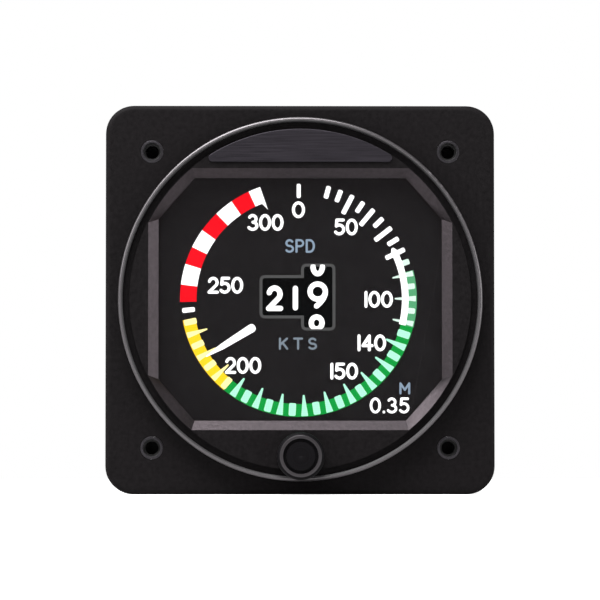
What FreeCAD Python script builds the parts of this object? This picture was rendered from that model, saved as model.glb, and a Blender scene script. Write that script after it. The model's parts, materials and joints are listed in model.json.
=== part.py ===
import FreeCAD, Part
import math
import os

# Digital airspeed indicator for a round panel cut-out, in millimetres.
# The front face of the square flange lies on y = 0 and the dial looks along -Y.
# X points right and Z points up for someone who reads the dial.

Vector = FreeCAD.Vector
REARWARD = Vector(0, 1, 0)
SHARP = 0.02

# Square mounting flange and its threaded inserts
FLANGE_SIDE = 82.55
FLANGE_CORNER_RADIUS = 6.0
FLANGE_THICKNESS = 4.8
FLANGE_EDGE_RADIUS = 1.1
FLANGE_REAR_EDGE_RADIUS = 0.4
INSERT_INSET = 9.84
INSERT_RADIUS = 2.4
INSERT_BORE_RADIUS = 1.4
INSERT_CHAMFER = 0.3
INSERT_EDGE = 0.2
INSERT_BARREL = 5.6
INSERT_END_WALL = 1.6
INSERT_POINT = 0.7
INSERT_FIT = 0.02

# Round boss that passes through the panel, and the bright ring around its face
BOSS_INSET = 2.675
BOSS_HEIGHT = 3.4
RING_INSET = 0.1
RING_WIDTH = 1.0
RING_SEAT_DEPTH = 1.4
RING_PROUD = 0.6
RING_FIT = 0.02
GROOVE_WIDTH = 1.4
GROOVE_DEPTH = 1.0

# Bevelled octagonal window, clipped by the groove's circle
BEVEL_SIDE_WIDTH = 2.15
BEVEL_TOP_WIDTH = 2.0
BEVEL_DEPTH = 1.8
BEVEL_TO_GROOVE = 0.15
WINDOW_SIDE_INSET = 6.1
WINDOW_TOP_INSET = 10.4
WINDOW_CORNER_INSET = 2.35
WINDOW_CORNER_ANGLE = 41.06
LIP_THICKNESS = 0.6
LIP_WIDTH = 1.5

# Plain plate above the window
PLATE_TO_GROOVE = 0.4
PLATE_TO_BEVEL = 1.3
PLATE_THICKNESS = 0.5
PLATE_TIP_RADIUS = 1.0

# Window glass and the display stack behind it
POCKET_FIT = 0.15
GASKET_THICKNESS = 0.5
GASKET_INSET = 0.2
GLASS_THICKNESS = 1.6
FILM_THICKNESS = 0.2
LCD_GLASS_THICKNESS = 0.7
LCD_INSET = 0.4
DIFFUSER_THICKNESS = 0.4
FRAME_WALL = 1.2
FRAME_BACK_THICKNESS = 1.5
LIGHT_GUIDE_THICKNESS = 2.5
LED_COUNT = 12
LED_LENGTH = 2.0
LED_HEIGHT = 0.8
LED_DEPTH = 1.6
LED_BOARD_THICKNESS = 0.8
LED_BOARD_MARGIN = 0.5

# Case tube, its spigots and its radial screws
CASE_STEP = 0.9
CASE_WALL = 1.5
CASE_LENGTH = 92.0
SPIGOT_FIT = 0.08
SPIGOT_LENGTH = 8.0
REAR_SPIGOT_WALL = 4.6
CASE_SCREW_COUNT = 6
CASE_SCREW_RADIUS = 1.25
CASE_SCREW_HEAD_RADIUS = 2.3
CASE_SCREW_HEAD_HEIGHT = 1.1
CASE_SCREW_LENGTH = 5.2
CASE_SCREW_SOCKET_RADIUS = 0.75
CASE_SCREW_SOCKET_DEPTH = 0.7
SCREW_FIT = 0.03
PAN_HEAD_EDGE_SHARE = 0.35

# Carrier plate behind the display
CARRIER_FIT = 0.5
CARRIER_THICKNESS = 2.0
CARRIER_OPENING_HALF_WIDTH = 15.0
CARRIER_OPENING_HALF_HEIGHT = 10.0
CARRIER_SCREW_INSET = 3.42
CARRIER_SCREW_Z = 7.2
CARRIER_SCREW_RADIUS = 1.0
CARRIER_SCREW_HEAD_RADIUS = 1.9
CARRIER_SCREW_HEAD_HEIGHT = 1.4
CARRIER_SCREW_GRIP = 3.6

# Circuit boards on their stand-offs
BOARD_CLEARANCE = 2.5
BOARD_THICKNESS = 1.6
POST_INSET = 5.8
POST_ACROSS_FLATS = 5.0
POST_STUD_RADIUS = 1.5
POST_STUD_REACH = 2.6
POST_BORE_DEPTH = 6.0
POST_HOLE_FIT = 0.1
FRONT_POST_LENGTH = 12.0
REAR_ROOM = 25.2
POST_SCREW_HEAD_RADIUS = 2.8
POST_SCREW_HEAD_HEIGHT = 2.0

# Parts on the boards
DRIVER_CHIP_SIDE = 14.0
PROCESSOR_SIDE = 18.0
MEMORY_LENGTH = 12.0
MEMORY_WIDTH = 8.0
CHIP_THICKNESS = 1.4
DRIVER_CHIP_SPACING = 15.0
PROCESSOR_CHIP_SPACING = 16.0
CAPACITOR_RADIUS = 4.0
CAPACITOR_HEIGHT = 11.0
CAPACITOR_SPACING = 9.0
TRANSFORMER_SIDE = 14.0
TRANSFORMER_HEIGHT = 9.0
TRANSFORMER_CORE_RADIUS = 5.4
TRANSFORMER_FLANGE_THICKNESS = 1.5
TRANSFORMER_GAP = 2.0
HEADER_LENGTH = 25.0
HEADER_WIDTH = 5.0
HEADER_INSET = 8.5
FLEX_WIDTH = 16.0
FLEX_THICKNESS = 0.3
FLEX_FOOT = 5.0
FLEX_Z = 2.0

# Push-and-turn knob and its shaft
KNOB_INSET = 5.4
KNOB_RADIUS = 5.0
KNOB_LENGTH = 7.0
KNOB_CLEARANCE = 0.9
KNOB_RIM_RADIUS = 1.0
KNOB_GROOVE_INSET = 1.35
KNOB_GROOVE_WIDTH = 0.6
KNOB_GROOVE_DEPTH = 0.7
KNOB_CAP_DROP = 0.3
KNOB_CAP_CROWN = 0.15
KNOB_WALL_WIDTH = 1.2
KNOB_SKIRT_DEPTH = 1.6
KNOB_FRONT_WEB = 1.5
KNURL_COUNT = 30
KNURL_RADIUS = 0.3
KNURL_DEPTH = 0.18
KNURL_SMOOTH_FRONT = 1.6
KNURL_SMOOTH_REAR = 0.8
SHAFT_RADIUS = 1.5
SHAFT_FLAT = 1.1
RUNNING_FIT = 0.05
SET_SCREW_RADIUS = 1.0
SET_SCREW_SETBACK = 0.65
SET_SCREW_SOCKET_RADIUS = 0.45
SET_SCREW_SOCKET_DEPTH = 1.2
PUSH_TRAVEL = 0.5

# Rotary encoder with its push switch
KNOB_WALL = 4.4
BUSHING_RADIUS = 2.45
BUSHING_FLANGE_RADIUS = 3.4
BUSHING_FLANGE_THICKNESS = 0.8
SEAL_SECTION_RADIUS = 0.3
SEAL_RECESS_DEPTH = 1.0
COLLAR_RADIUS = 2.1
COLLAR_THICKNESS = 0.5
COLLAR_SIDE_GAP = 0.3
HOUSING_WIDTH = 8.0
HOUSING_HEIGHT = 7.2
HOUSING_LENGTH = 5.4
HOUSING_FRONT_WALL = 0.5
HOUSING_MIDDLE_WALL = 0.5
HOUSING_GAP = 0.3
ROTOR_RADIUS = 3.0
ROTOR_CHAMBER_GAP = 0.3
ROTOR_STAR_THICKNESS = 1.2
ROTOR_HUB_RADIUS = 1.9
ROTOR_END_GAP = 0.1
DETENT_COUNT = 12
DETENT_NOTCH_RADIUS = 0.45
DETENT_NOTCH_OFFSET = 0.15
DETENT_NOSE_RADIUS = 0.3
DETENT_NOSE_OFFSET = 0.2
DETENT_LEAF_THICKNESS = 0.2
DETENT_LEAF_HALF_LENGTH = 2.4
DOME_RADIUS = 2.4
DOME_HEIGHT = 0.6
DOME_THICKNESS = 0.12
DOME_END_GAP = 0.05
ENCODER_BOARD_THICKNESS = 1.2
ENCODER_BOARD_HALF_WIDTH = 12.0
ENCODER_BOARD_TOP = 4.4
ENCODER_BOARD_FIT = 0.3
ENCODER_SCREW_X = 8.5
ENCODER_SCREW_RISE = 0.6
ENCODER_SCREW_RADIUS = 0.95
ENCODER_SCREW_HEAD_RADIUS = 1.8
ENCODER_SCREW_HEAD_HEIGHT = 1.2
ENCODER_SCREW_GRIP = 3.0

# Rear cover and its fittings
REAR_PLATE_THICKNESS = 3.0
REAR_EDGE_CHAMFER = 0.8
PORT_X = 16.0
PORT_PAD_MARGIN = 0.9
PORT_PAD_GAP = 0.3
PORT_PAD_HEIGHT = 1.2
PORT_ACROSS_FLATS = 14.3
PORT_HEX_LENGTH = 11.0
PORT_BORE_RADIUS = 4.2
PORT_BORE_LENGTH = 9.0
PORT_STUD_RADIUS = 5.0
PORT_STUD_LENGTH = 10.2
PORT_NUT_ACROSS_FLATS = 14.0
PORT_NUT_THICKNESS = 4.0
PORT_SEAL_THICKNESS = 0.8
PORT_SEAL_RADIUS = 7.4
AIR_PASSAGE_RADIUS = 0.9
BARB_RADIUS = 1.75
BARB_CREST_RADIUS = 2.0
BARB_LENGTH = 5.4
BARB_COUNT = 3
BARB_LEAD_SHARE = 0.2
HOSE_RADIUS = 3.1
HOSE_FIT = 0.02
HOSE_END_GAP = 0.5
SENSOR_SIDE = 12.0
SENSOR_HEIGHT = 7.0

# Round electrical connector
CONNECTOR_Z = -14.0
CONNECTOR_GASKET_THICKNESS = 0.8
CONNECTOR_FLANGE_WIDTH = 2.1
CONNECTOR_FLANGE_CORNER_RADIUS = 1.5
CONNECTOR_FLANGE_THICKNESS = 1.8
CONNECTOR_SHELL_RADIUS = 9.4
CONNECTOR_WALL = 1.4
CONNECTOR_SHELL_LENGTH = 11.0
CONNECTOR_THROAT_GAP = 0.4
CONNECTOR_INSERT_HEIGHT = 2.5
CONNECTOR_PIN_RADIUS = 0.55
CONNECTOR_PIN_PROUD = 4.0
CONNECTOR_PIN_TAIL = 3.0
CONNECTOR_INNER_PINS = 3
CONNECTOR_INNER_PIN_CIRCLE = 2.0
CONNECTOR_OUTER_PINS = 8
CONNECTOR_OUTER_PIN_CIRCLE = 5.4
BAYONET_PEG_COUNT = 3
BAYONET_PEG_RADIUS = 0.8
BAYONET_PEG_HEIGHT = 0.8
BAYONET_PEG_SETBACK = 2.6
CONNECTOR_SCREW_INSET = 2.5
CONNECTOR_SCREW_RADIUS = 1.0
CONNECTOR_SCREW_HEAD_RADIUS = 1.9
CONNECTOR_SCREW_HEAD_HEIGHT = 1.3
WIRE_RADIUS = 0.4
PLUG_RADIUS = 7.0
PLUG_HEIGHT = 6.0

# Ground stud
GROUND_INSET = 7.32
GROUND_RADIUS = 2.0
GROUND_LENGTH = 12.0
GROUND_RELIEF_RADIUS = 1.6
GROUND_RELIEF_LENGTH = 0.8
GROUND_TIP_CHAMFER = 0.4
GROUND_NUT_ACROSS_FLATS = 7.0
GROUND_NUT_THICKNESS = 3.0
GROUND_WASHER_RADIUS = 4.2
GROUND_WASHER_THICKNESS = 0.8

# Sizes of the front that follow from the flange
SCREW_SPACING = FLANGE_SIDE - 2 * INSERT_INSET
BOSS_RADIUS = FLANGE_SIDE / 2 - BOSS_INSET
RING_OUTER_RADIUS = BOSS_RADIUS - RING_INSET
RING_INNER_RADIUS = RING_OUTER_RADIUS - RING_WIDTH
GROOVE_INNER_RADIUS = RING_INNER_RADIUS - GROOVE_WIDTH
WINDOW_HALF_WIDTH = GROOVE_INNER_RADIUS - WINDOW_SIDE_INSET
WINDOW_HALF_HEIGHT = GROOVE_INNER_RADIUS - WINDOW_TOP_INSET
WINDOW_CORNER_REACH = GROOVE_INNER_RADIUS - WINDOW_CORNER_INSET
BEVEL_HALF_WIDTH = WINDOW_HALF_WIDTH + BEVEL_SIDE_WIDTH
BEVEL_HALF_HEIGHT = WINDOW_HALF_HEIGHT + BEVEL_TOP_WIDTH
PLATE_ARC_RADIUS = GROOVE_INNER_RADIUS - PLATE_TO_GROOVE
PLATE_BOTTOM = BEVEL_HALF_HEIGHT + PLATE_TO_BEVEL
TRAY_GROWTH = LIP_WIDTH - POCKET_FIT
TRAY_INNER_GROWTH = TRAY_GROWTH - FRAME_WALL
KNOB_Z = KNOB_INSET - BOSS_RADIUS
KNOB_GROOVE_RADIUS = KNOB_RADIUS - KNOB_GROOVE_INSET
KNOB_CAP_RADIUS = KNOB_GROOVE_RADIUS - KNOB_GROOVE_WIDTH
KNOB_SKIRT_RADIUS = KNOB_RADIUS - KNOB_WALL_WIDTH

# Sizes of the case and of what it holds
CASE_OUTER_RADIUS = BOSS_RADIUS + CASE_STEP
CASE_INNER_RADIUS = CASE_OUTER_RADIUS - CASE_WALL
SPIGOT_RADIUS = CASE_INNER_RADIUS - SPIGOT_FIT
COVER_INNER_RADIUS = SPIGOT_RADIUS - REAR_SPIGOT_WALL
CARRIER_RADIUS = SPIGOT_RADIUS - CARRIER_FIT
CARRIER_SCREW_X = CARRIER_RADIUS - CARRIER_SCREW_INSET
BOARD_RADIUS = CASE_INNER_RADIUS - BOARD_CLEARANCE
POST_OFFSET = (BOARD_RADIUS - POST_INSET) * math.sqrt(0.5)
HEADER_Z = HEADER_INSET - BOARD_RADIUS
GROUND_Z = COVER_INNER_RADIUS - GROUND_INSET
CONNECTOR_FLANGE_HALF = CONNECTOR_SHELL_RADIUS + CONNECTOR_FLANGE_WIDTH
CONNECTOR_BORE_RADIUS = CONNECTOR_SHELL_RADIUS - CONNECTOR_WALL
CONNECTOR_THROAT_RADIUS = CONNECTOR_SHELL_RADIUS + CONNECTOR_THROAT_GAP
CONNECTOR_SCREW_OFFSET = CONNECTOR_FLANGE_HALF - CONNECTOR_SCREW_INSET
PORT_PAD_RADIUS = PORT_ACROSS_FLATS / math.sqrt(3) + PORT_PAD_MARGIN
PORT_Z = CONNECTOR_Z + CONNECTOR_FLANGE_HALF + PORT_PAD_GAP + PORT_PAD_RADIUS

# Places along the axis, from front to rear
BOSS_FRONT = -BOSS_HEIGHT
RING_SEAT = BOSS_FRONT + RING_SEAT_DEPTH
GROOVE_FLOOR = BOSS_FRONT + GROOVE_DEPTH
BEVEL_BACK = BOSS_FRONT + BEVEL_DEPTH
LIP_BACK = BEVEL_BACK + LIP_THICKNESS
GLASS_FRONT = LIP_BACK + GASKET_THICKNESS
GLASS_BACK = GLASS_FRONT + GLASS_THICKNESS
LCD_FRONT = GLASS_BACK + FILM_THICKNESS
LCD_MIDDLE = LCD_FRONT + LCD_GLASS_THICKNESS
LCD_BACK = LCD_MIDDLE + LCD_GLASS_THICKNESS
REAR_FILM_BACK = LCD_BACK + FILM_THICKNESS
FRAME_FRONT = REAR_FILM_BACK + DIFFUSER_THICKNESS
LIGHT_GUIDE_BACK = FRAME_FRONT + LIGHT_GUIDE_THICKNESS
FRAME_SHELF_BACK = LIGHT_GUIDE_BACK + FRAME_BACK_THICKNESS
SPIGOT_END = FLANGE_THICKNESS + SPIGOT_LENGTH
CARRIER_BACK = SPIGOT_END + CARRIER_THICKNESS
CASE_END = FLANGE_THICKNESS + CASE_LENGTH
FIRST_BOARD = CARRIER_BACK + FRONT_POST_LENGTH
BOARDS_BACK = CASE_END - REAR_ROOM
THIRD_BOARD = BOARDS_BACK - BOARD_THICKNESS
SECOND_BOARD = (FIRST_BOARD + THIRD_BOARD) / 2
REAR_POST_LENGTH = THIRD_BOARD - SECOND_BOARD - BOARD_THICKNESS
COVER_BACK = CASE_END + REAR_PLATE_THICKNESS
FRONT_SCREW_PLACE = FLANGE_THICKNESS + SPIGOT_LENGTH / 2
REAR_SCREW_PLACE = CASE_END - SPIGOT_LENGTH / 2

# Places along the knob's axis
KNOB_REAR = BOSS_FRONT - RING_PROUD - KNOB_CLEARANCE
KNOB_FRONT = KNOB_REAR - KNOB_LENGTH
SHAFT_TIP = KNOB_FRONT + KNOB_FRONT_WEB + RUNNING_FIT
SKIRT_FLOOR = KNOB_REAR - KNOB_SKIRT_DEPTH
ENCODER_FLOOR = BOSS_FRONT + KNOB_WALL
HOUSING_FRONT = ENCODER_FLOOR + BUSHING_FLANGE_THICKNESS
HOUSING_BACK = HOUSING_FRONT + HOUSING_LENGTH
COLLAR_FRONT = HOUSING_FRONT + RUNNING_FIT
COLLAR_BACK = COLLAR_FRONT + COLLAR_THICKNESS
CHAMBER_FRONT = HOUSING_FRONT + HOUSING_FRONT_WALL
ROTOR_FRONT = CHAMBER_FRONT + ROTOR_END_GAP
ROTOR_SOCKET_FLOOR = COLLAR_BACK + PUSH_TRAVEL + ROTOR_END_GAP
ROTOR_STAR_BACK = ROTOR_FRONT + ROTOR_STAR_THICKNESS
CHAMBER_BACK = ROTOR_STAR_BACK + HOUSING_GAP + HOUSING_MIDDLE_WALL
SWITCH_FRONT = CHAMBER_BACK + HOUSING_MIDDLE_WALL
DOME_CROWN = HOUSING_BACK - DOME_HEIGHT
SHAFT_END = DOME_CROWN - DOME_END_GAP - PUSH_TRAVEL
ENCODER_BOARD_BACK = HOUSING_BACK + ENCODER_BOARD_THICKNESS


def rod(radius, start, end, x=0.0, z=0.0):
    """A round bar along Y from start to end, around the point x, z."""
    return Part.makeCylinder(radius, end - start, Vector(x, start, z), REARWARD)


def sleeve(outer, inner, start, end, x=0.0, z=0.0):
    """A round tube along Y."""
    return rod(outer, start, end, x, z).cut(rod(inner, start, end, x, z))


def block(x_range, y_range, z_range):
    """A box between two limits on each axis."""
    low = Vector(x_range[0], y_range[0], z_range[0])
    return Part.makeBox(x_range[1] - x_range[0], y_range[1] - y_range[0], z_range[1] - z_range[0], low)


def centred_block(width, start, end, height, x=0.0, z=0.0):
    """A box along Y with its width and height centred on x, z."""
    return block((x - width / 2, x + width / 2), (start, end), (z - height / 2, z + height / 2))


def prism(corners, start, end):
    """A straight prism along Y over the polygon of (x, z) corners."""
    points = [Vector(x, start, z) for x, z in corners]
    return Part.Face(Part.makePolygon(points + points[:1])).extrude(REARWARD * (end - start))


def hexagon(across_flats, start, end, x=0.0, z=0.0):
    """A hexagonal bar along Y."""
    radius = across_flats / math.sqrt(3)
    corners = [(x + radius * math.cos(math.radians(60 * i)), z + radius * math.sin(math.radians(60 * i)))
               for i in range(6)]
    return prism(corners, start, end)


def turned(profile, x=0.0, z=0.0):
    """A turned solid: the closed profile of (radius, y) points goes once round the axis through x, z."""
    points = [Vector(x + radius, y, z) for radius, y in profile]
    face = Part.Face(Part.makePolygon(points + points[:1]))
    return face.revolve(Vector(x, 0, z), REARWARD, 360)


def d_bar(radius, flat, start, end, z=0.0):
    """A round bar along Y with a flat on its lower side, at the distance flat from its axis."""
    upper = block((-2 * radius, 2 * radius), (start, end), (z - flat, z + 2 * radius))
    return rod(radius, start, end, 0, z).common(upper)


def radial_bar(radius, inner, outer, angle, y):
    """A round bar along the radius at an angle in the XZ plane."""
    direction = Vector(math.cos(math.radians(angle)), 0, math.sin(math.radians(angle)))
    return Part.makeCylinder(radius, outer - inner, direction * inner + Vector(0, y, 0), direction)


def radial_cone(inner_radius, outer_radius, inner, outer, angle, y):
    """A cone along the radius at an angle in the XZ plane."""
    direction = Vector(math.cos(math.radians(angle)), 0, math.sin(math.radians(angle)))
    base = direction * inner + Vector(0, y, 0)
    return Part.makeCone(inner_radius, outer_radius, outer - inner, base, direction)


def around(count, radius, x=0.0, z=0.0, first=90.0):
    """The (x, z) points of a circular pattern."""
    angles = [math.radians(first + 360.0 * i / count) for i in range(count)]
    return [(x + radius * math.cos(a), z + radius * math.sin(a)) for a in angles]


def four_corners(offset_x, offset_z, x=0.0, z=0.0):
    """The (x, z) points of a rectangular pattern of four."""
    return [(x + i * offset_x, z + k * offset_z) for i in (-1, 1) for k in (-1, 1)]


def window_outline(grown):
    """The window's octagon as (x, z) corners, with every side moved outward by the distance grown."""
    half_width = WINDOW_HALF_WIDTH + grown
    half_height = WINDOW_HALF_HEIGHT + grown
    normal_x = math.cos(math.radians(WINDOW_CORNER_ANGLE))
    normal_z = math.sin(math.radians(WINDOW_CORNER_ANGLE))
    reach = WINDOW_CORNER_REACH + grown
    top_x = (reach - normal_z * half_height) / normal_x
    side_z = (reach - normal_x * half_width) / normal_z
    return [(half_width, -side_z), (half_width, side_z), (top_x, half_height), (-top_x, half_height),
            (-half_width, side_z), (-half_width, -side_z), (-top_x, -half_height), (top_x, -half_height)]


def window_prism(grown, start, end):
    """The window's octagon, grown and made a prism along Y."""
    return prism(window_outline(grown), start, end)


def pan_screw(radius, head_radius, head_height, grip, seat, x, z):
    """A pan-head screw whose head stands behind the seat and whose shank points forward."""
    edge = head_height * PAN_HEAD_EDGE_SHARE
    profile = [(0, seat - grip), (radius, seat - grip), (radius, seat), (head_radius, seat),
               (head_radius, seat + head_height - edge), (head_radius - edge, seat + head_height),
               (0, seat + head_height)]
    return turned(profile, x, z)


def bevel_cutter():
    """The funnel of the window: a rectangle clipped by a circle in front, the octagon at its back."""
    clip = GROOVE_INNER_RADIUS - BEVEL_TO_GROOVE
    side_z = math.sqrt(clip ** 2 - BEVEL_HALF_WIDTH ** 2)
    top_x = math.sqrt(clip ** 2 - BEVEL_HALF_HEIGHT ** 2)
    corners = [(BEVEL_HALF_WIDTH, -side_z), (BEVEL_HALF_WIDTH, side_z), (top_x, BEVEL_HALF_HEIGHT),
               (-top_x, BEVEL_HALF_HEIGHT), (-BEVEL_HALF_WIDTH, side_z), (-BEVEL_HALF_WIDTH, -side_z),
               (-top_x, -BEVEL_HALF_HEIGHT), (top_x, -BEVEL_HALF_HEIGHT)]
    points = [Vector(x, BOSS_FRONT, z) for x, z in corners]
    edges = []
    for i in range(8):
        start = points[i]
        end = points[(i + 1) % 8]
        if i % 2 == 0:
            edges.append(Part.LineSegment(start, end).toShape())
            continue
        middle = Vector(start.x + end.x, 0, start.z + end.z)
        middle = middle * (clip / middle.Length) + Vector(0, BOSS_FRONT, 0)
        edges.append(Part.Arc(start, middle, end).toShape())
    back = [Vector(x, BEVEL_BACK, z) for x, z in window_outline(0)]
    return Part.makeLoft([Part.Wire(edges), Part.makePolygon(back + back[:1])], True, True)


def edges_along_y(shape):
    """The edges of a shape that run along Y."""
    return [e for e in shape.Edges if abs(abs(e.tangentAt(e.FirstParameter).y) - 1) < SHARP]


def rounded_plate(half, corner_radius, start, end, x=0.0, z=0.0):
    """A square plate along Y with rounded corners."""
    plate = centred_block(2 * half, start, end, 2 * half, x, z)
    return plate.makeFillet(corner_radius, edges_along_y(plate))


def edges_on_plane(shape, y):
    """The edges of a shape that lie on the plane at y."""
    return [e for e in shape.Edges if abs(e.BoundBox.YMin - y) < SHARP and abs(e.BoundBox.YMax - y) < SHARP]


def flange_plate():
    """The square flange with its edges rounded."""
    plate = rounded_plate(FLANGE_SIDE / 2, FLANGE_CORNER_RADIUS, 0, FLANGE_THICKNESS)
    plate = plate.makeFillet(FLANGE_EDGE_RADIUS, edges_on_plane(plate, 0))
    return plate.makeFillet(FLANGE_REAR_EDGE_RADIUS, edges_on_plane(plate, FLANGE_THICKNESS))


def encoder_pocket():
    """The room for the knob's shaft, the encoder and its board, cut from the bezel."""
    low = KNOB_Z - HOUSING_HEIGHT / 2 - HOUSING_GAP
    high = KNOB_Z + HOUSING_HEIGHT / 2 + HOUSING_GAP
    half = HOUSING_WIDTH / 2 + HOUSING_GAP
    shaft_hole = rod(BUSHING_RADIUS + INSERT_FIT, BOSS_FRONT, ENCODER_FLOOR, 0, KNOB_Z)
    housing_room = block((-half, half), (ENCODER_FLOOR, SPIGOT_END), (low, high))
    board_half = ENCODER_BOARD_HALF_WIDTH + ENCODER_BOARD_FIT
    board_top = KNOB_Z + ENCODER_BOARD_TOP + ENCODER_BOARD_FIT
    board_depth = (HOUSING_BACK, SPIGOT_END)
    board_room = block((-board_half, board_half), board_depth, (-CASE_OUTER_RADIUS, board_top))
    return [shaft_hole, housing_room, board_room]


def encoder_screw_points():
    """Where the two screws of the encoder's board stand."""
    return [(side * ENCODER_SCREW_X, KNOB_Z + ENCODER_SCREW_RISE) for side in (-1, 1)]


def case_screw_angles():
    """The angles of the radial case screws."""
    return [360.0 * i / CASE_SCREW_COUNT for i in range(CASE_SCREW_COUNT)]


def spigot_holes(place):
    """The threaded radial holes of a spigot, at their place along the axis."""
    inner = CASE_OUTER_RADIUS - CASE_SCREW_LENGTH - SCREW_FIT
    radius = CASE_SCREW_RADIUS + SCREW_FIT
    return [radial_bar(radius, inner, CASE_OUTER_RADIUS, angle, place) for angle in case_screw_angles()]


def front_bezel():
    """Flange, boss and spigot in one casting, with the bevelled window through it."""
    body = flange_plate()
    body = body.fuse(rod(BOSS_RADIUS, RING_SEAT, FLANGE_THICKNESS / 2))
    body = body.fuse(rod(RING_INNER_RADIUS, BOSS_FRONT, FLANGE_THICKNESS / 2))
    body = body.fuse(rod(SPIGOT_RADIUS, FLANGE_THICKNESS / 2, SPIGOT_END))
    tools = [sleeve(RING_INNER_RADIUS, GROOVE_INNER_RADIUS, BOSS_FRONT, GROOVE_FLOOR)]
    tools.append(bevel_cutter())
    tools.append(window_prism(0, BEVEL_BACK, LIP_BACK))
    tools.append(window_prism(LIP_WIDTH, LIP_BACK, SPIGOT_END))
    tools.extend(encoder_pocket())
    for x, z in four_corners(SCREW_SPACING / 2, SCREW_SPACING / 2):
        tools.append(rod(INSERT_RADIUS + INSERT_FIT, 0, FLANGE_THICKNESS, x, z))
    for x, z in four_corners(CARRIER_SCREW_X, CARRIER_SCREW_Z):
        radius = CARRIER_SCREW_RADIUS + SCREW_FIT
        tools.append(rod(radius, SPIGOT_END - CARRIER_SCREW_GRIP, SPIGOT_END, x, z))
    for x, z in encoder_screw_points():
        radius = ENCODER_SCREW_RADIUS + SCREW_FIT
        tools.append(rod(radius, HOUSING_BACK - ENCODER_SCREW_GRIP, HOUSING_BACK, x, z))
    tools.extend(spigot_holes(FRONT_SCREW_PLACE))
    return body.cut(tools)


def bezel_ring():
    """The bright ring, with a rounded bead as its front edge."""
    inner = RING_INNER_RADIUS + RING_FIT
    shoulder = BOSS_FRONT
    start = Vector(inner, shoulder, 0)
    crown = Vector((inner + RING_OUTER_RADIUS) / 2, BOSS_FRONT - RING_PROUD, 0)
    end = Vector(RING_OUTER_RADIUS, shoulder, 0)
    outer_foot = Vector(RING_OUTER_RADIUS, RING_SEAT, 0)
    inner_foot = Vector(inner, RING_SEAT, 0)
    sides = Part.makePolygon([end, outer_foot, inner_foot, start])
    bead = Part.Arc(start, crown, end).toShape()
    return Part.Face(Part.Wire([bead] + sides.Edges)).revolve(Vector(0, 0, 0), REARWARD, 360)


def threaded_insert(x, z):
    """A blind steel insert in the flange that takes a panel screw, its closed barrel behind."""
    bore = INSERT_BORE_RADIUS
    end = FLANGE_THICKNESS + INSERT_BARREL
    floor = end - INSERT_END_WALL
    profile = [(bore + INSERT_CHAMFER, 0), (INSERT_RADIUS - INSERT_EDGE, 0), (INSERT_RADIUS, INSERT_EDGE),
               (INSERT_RADIUS, end - INSERT_EDGE), (INSERT_RADIUS - INSERT_EDGE, end), (0, end),
               (0, floor + INSERT_POINT), (bore, floor), (bore, INSERT_CHAMFER)]
    return turned(profile, x, z)


def badge_plate():
    """The plain plate above the window: a segment of a disc with rounded tips."""
    start = BOSS_FRONT - PLATE_THICKNESS
    disc = rod(PLATE_ARC_RADIUS, start, BOSS_FRONT)
    reach = BOSS_RADIUS
    segment = disc.common(block((-reach, reach), (start, BOSS_FRONT), (PLATE_BOTTOM, reach)))
    return segment.makeFillet(PLATE_TIP_RADIUS, edges_along_y(segment))


def window_gasket():
    """The frame of soft sheet between the lip and the glass."""
    outer = window_prism(TRAY_GROWTH, LIP_BACK, GLASS_FRONT)
    return outer.cut(window_prism(GASKET_INSET, LIP_BACK, GLASS_FRONT))


def display_frame():
    """The octagonal tray that holds the light guide and presses the display forward."""
    body = window_prism(TRAY_GROWTH, FRAME_FRONT, SPIGOT_END)
    front_room = window_prism(TRAY_INNER_GROWTH, FRAME_FRONT, LIGHT_GUIDE_BACK)
    rear_room = window_prism(TRAY_INNER_GROWTH, FRAME_SHELF_BACK, SPIGOT_END)
    return body.cut([front_room, rear_room])


def light_guide():
    """The clear plate behind the diffuser that fills the tray down to the lamps."""
    body = window_prism(TRAY_INNER_GROWTH, FRAME_FRONT, LIGHT_GUIDE_BACK)
    tray_floor, lamp_low, guide_low = led_levels()
    reach = BOSS_RADIUS
    return body.cut(block((-reach, reach), (FRAME_FRONT, LIGHT_GUIDE_BACK), (tray_floor, guide_low)))


def led_levels():
    """Heights of the tray's floor, of the lamps' lower side and of the light guide's lower edge."""
    tray_floor = -WINDOW_HALF_HEIGHT - TRAY_INNER_GROWTH
    lamp_low = tray_floor + LED_BOARD_THICKNESS
    return tray_floor, lamp_low, lamp_low + LED_HEIGHT


def led_strip():
    """The strip on the tray's floor: a narrow board with a row of small lamps."""
    half = window_outline(TRAY_INNER_GROWTH)[2][0] - LED_BOARD_MARGIN
    tray_floor, lamp_low, guide_low = led_levels()
    board = block((-half, half), (FRAME_FRONT, LIGHT_GUIDE_BACK), (tray_floor, lamp_low))
    pitch = 2 * (half - LED_LENGTH) / (LED_COUNT - 1)
    middle = (FRAME_FRONT + LIGHT_GUIDE_BACK) / 2
    depth = (middle - LED_DEPTH / 2, middle + LED_DEPTH / 2)
    lamps = []
    for i in range(LED_COUNT):
        x = -half + LED_LENGTH + i * pitch
        lamps.append(block((x - LED_LENGTH / 2, x + LED_LENGTH / 2), depth, (lamp_low, guide_low)))
    return [board] + lamps


def carrier_plate():
    """The round plate that closes the bezel's pocket and carries the boards."""
    body = rod(CARRIER_RADIUS, SPIGOT_END, CARRIER_BACK)
    width = 2 * CARRIER_OPENING_HALF_WIDTH
    height = 2 * CARRIER_OPENING_HALF_HEIGHT
    tools = [centred_block(width, SPIGOT_END, CARRIER_BACK, height)]
    for x, z in four_corners(CARRIER_SCREW_X, CARRIER_SCREW_Z):
        tools.append(rod(CARRIER_SCREW_RADIUS + SCREW_FIT, SPIGOT_END, CARRIER_BACK, x, z))
    for x, z in four_corners(POST_OFFSET, POST_OFFSET):
        tools.append(rod(POST_STUD_RADIUS + SCREW_FIT, SPIGOT_END, CARRIER_BACK, x, z))
    return body.cut(tools)


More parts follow.
